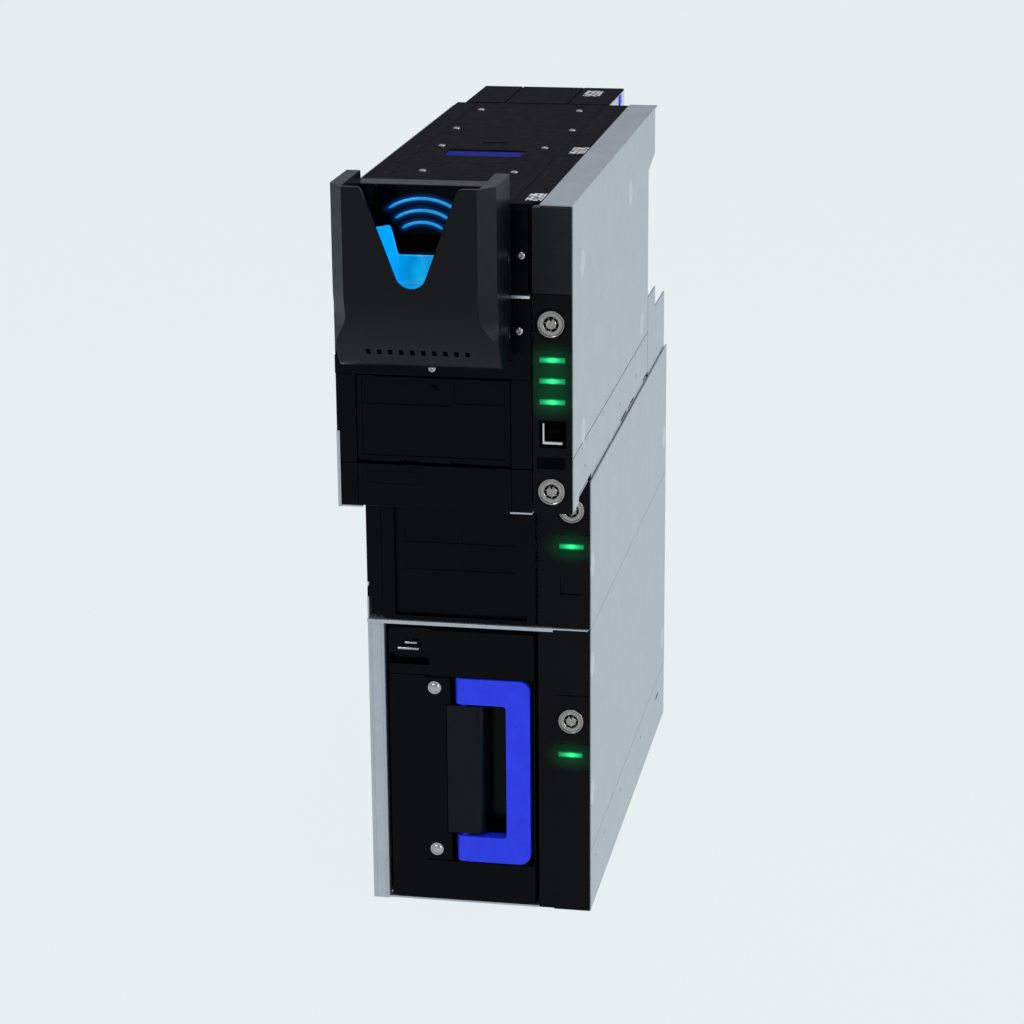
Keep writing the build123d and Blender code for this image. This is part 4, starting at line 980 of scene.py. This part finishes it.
plateLow, plateHigh = span("bezel_plate")
portLow, portHigh = span("service_port")
columnLow, columnHigh = span("head_column")
rearLow, rearHigh = span("rear_transport")
trimShape = {
    "plateTab": ("head", "steelBright", "galvanised", [
        (reach(plateHigh.x, -18, -0.8), reach(plateLow.y, 0.4, 7), reach(plateLow.z, 59.9, 62.0), 0.3)]),
    "portLip": ("head", "steelBright", "bright_steel", [
        (reach(portLow.x, 1.0, 2.3), reach(portLow.y, -1.6, 1), (portLow.z + 2.0, portHigh.z - 1.6), 0.3),
        ((portLow.x + 1.0, portHigh.x - 2.2), reach(portLow.y, -1.6, 1), reach(portLow.z, 0.8, 2.9), 0.5)]),
    "columnWindow": ("head", "inner", "black_plastic", [
        ((columnLow.x + 3.0, columnHigh.x - 5.4), reach(columnLow.y, -0.2, 0.6),
         reach(columnLow.z, 34.4, 42.6), 0.3)]),
    "rearSideSheet": ("head", "steelBright", "galvanised", [
        (reach(rearHigh.x, -0.2, 0.5), (rearLow.y + 56, rearHigh.y - 0.6),
         reach(rearHigh.z, -42, -1.2), 0.2)]),
    "rearBlueTab": ("head", "blue", "blue_plastic", [
        (reach(rearHigh.x, 0.3, 1.6), reach(rearHigh.y, -34, -24), reach(rearHigh.z, -10, -1.6), 0.3)]),
}
for name, trim in trimShape.items():
    boxPiece(name, *trim)

# slits beside the covers are (y, length); the shorter ones across the rims only have a y
seamShape = {
    "width": 1.9, "slits": ((-205, 34), (-139, 26), (-92, 24), (8, 86), (112, 22)), "sides": (-2.6, 1.6),
    "crossWidth": 2.4, "rightCrosses": (-296, -258, -147, -60, 110), "leftCrosses": (-258, -147, -60, 110),
    "crossReach": (2, 12), "coverJoint": 0.6, "sunk": 0.5, "proud": 0.1,
    "backSplits": (31.4, 88.4), "backFold": -46, "backWidth": 1.2, "backProud": 0.05,
    "flangeFolds": ((2.2, 1.0), (9.6, 1.2), (11.8, 1.0)),
}


def topSeams(s):
    rimTop = span("head_rims")[1].z
    lidLow, lidHigh = span("main_cover")
    frontLidHigh = span("front_cover")[1]
    near, far = s["crossReach"]
    seams = [((lidLow.x, lidHigh.x), (frontLidHigh.y - s["coverJoint"], lidLow.y + s["coverJoint"]))]
    for edge, offset in zip((lidLow.x, lidHigh.x), s["sides"]):
        seams += [(reach(edge + offset, 0, s["width"]), (y, y + length)) for y, length in s["slits"]]
    seams += [(reach(lidHigh.x, near, far), reach(y, 0, s["crossWidth"])) for y in s["rightCrosses"]]
    seams += [(reach(lidLow.x, -far, -near), reach(y, 0, s["crossWidth"])) for y in s["leftCrosses"]]
    return [(x, y, (rimTop - s["sunk"], rimTop + s["proud"]), 0) for x, y in seams]


def rearSeams(s):
    depth = (rearHigh.y - s["sunk"], rearHigh.y + s["backProud"])
    seams = [(reach(rearLow.x + split, 0, s["backWidth"]), depth, (rearLow.z + 4, rearHigh.z - 0.5), 0)
             for split in s["backSplits"]]
    fold = reach(rearHigh.z + s["backFold"], 0, s["backWidth"])
    seams.append(((rearLow.x + 2, rearHigh.x - 2), depth, fold, 0))
    return seams


def flangeFolds(s):
    low, high = span("left_wall_lower")
    return [(reach(low.x + at, 0, width), reach(low.y, -0.35, 0.4), (low.z + 1, high.z - 3), 0.3)
            for at, width in s["flangeFolds"]]


boxPiece("topSeams", "head", "inner", "black_plastic", topSeams(seamShape))
boxPiece("rearSeams", "head", "inner", "black_plastic", rearSeams(seamShape))
boxPiece("flangeFolds", "chassis", "steel", "galvanised", flangeFolds(seamShape))

stapleLow, stapleHigh = span("latch_staple")
stapleShape = {
    "lowBar": ((stapleLow.x, stapleHigh.x), reach(stapleLow.y, 0.2, 2.2), reach(stapleLow.z, 0, 1.9), 0.8),
    "highBar": ((stapleLow.x + 5.4, stapleHigh.x - 1.8), (stapleLow.y + 1.6, stapleHigh.y),
                reach(stapleHigh.z, -1.7, 0), 0.6),
    "legs": (stapleLow.x + 1.2, stapleHigh.x - 1.2), "legHalf": 1, "legRadius": 0.5,
    "legDepth": (stapleLow.y + 1.2, stapleHigh.y), "legHeight": reach(stapleLow.z, 0.1, 1.8),
}


# two bars on two legs, for the cash box latch
def buildStaple(s):
    bm = bmesh.new()
    for bar in (s["lowBar"], s["highBar"]):
        softBox(bm, *bar, 3)
    for leg in s["legs"]:
        softBox(bm, reach(leg, -s["legHalf"], s["legHalf"]), s["legDepth"], s["legHeight"], s["legRadius"])
    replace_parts(placePiece("stapleBars", bm, "cash_box", "screw", "bright_steel", 50), "latch_staple")


buildStaple(stapleShape)

flapLow, flapHigh = span("flap_door")
knobShape = {
    "profile": [(0, -0.2), (0.8, -0.1), (1.1, 0.55), (1.7, 0.6), (2.3, 0.35), (2.6, -0.3), (0, -0.3)],
    "drop": 9.1,
}
knob = bmesh.new()
lathe(knob, knobShape["profile"], (bezelMiddle, flapLow.y, flapHigh.z - knobShape["drop"]), forward, 24)
placePiece("flapKnobFace", knob, "flap", "blackGloss", "black_plastic")
print("trims built")

# printed patches lie on the top: each is its x span and its y span
patchShape = {
    "rimPatches": (span("head_rims")[1].z, [((50.5, 62.5), (-290, -262)), ((50.5, 62.5), (-94, -66))]),
    "rearPatch": (rearHigh.z, [((16, 31), (192, 222))]),
}
for name, (rise, places) in patchShape.items():
    bm = bmesh.new()
    for x, y in places:
        softBox(bm, x, y, reach(rise, -0.02, 0.14), 0.05, 1)
    placePiece(name, bm, "head", "label", "white_plastic")
print("patches built")
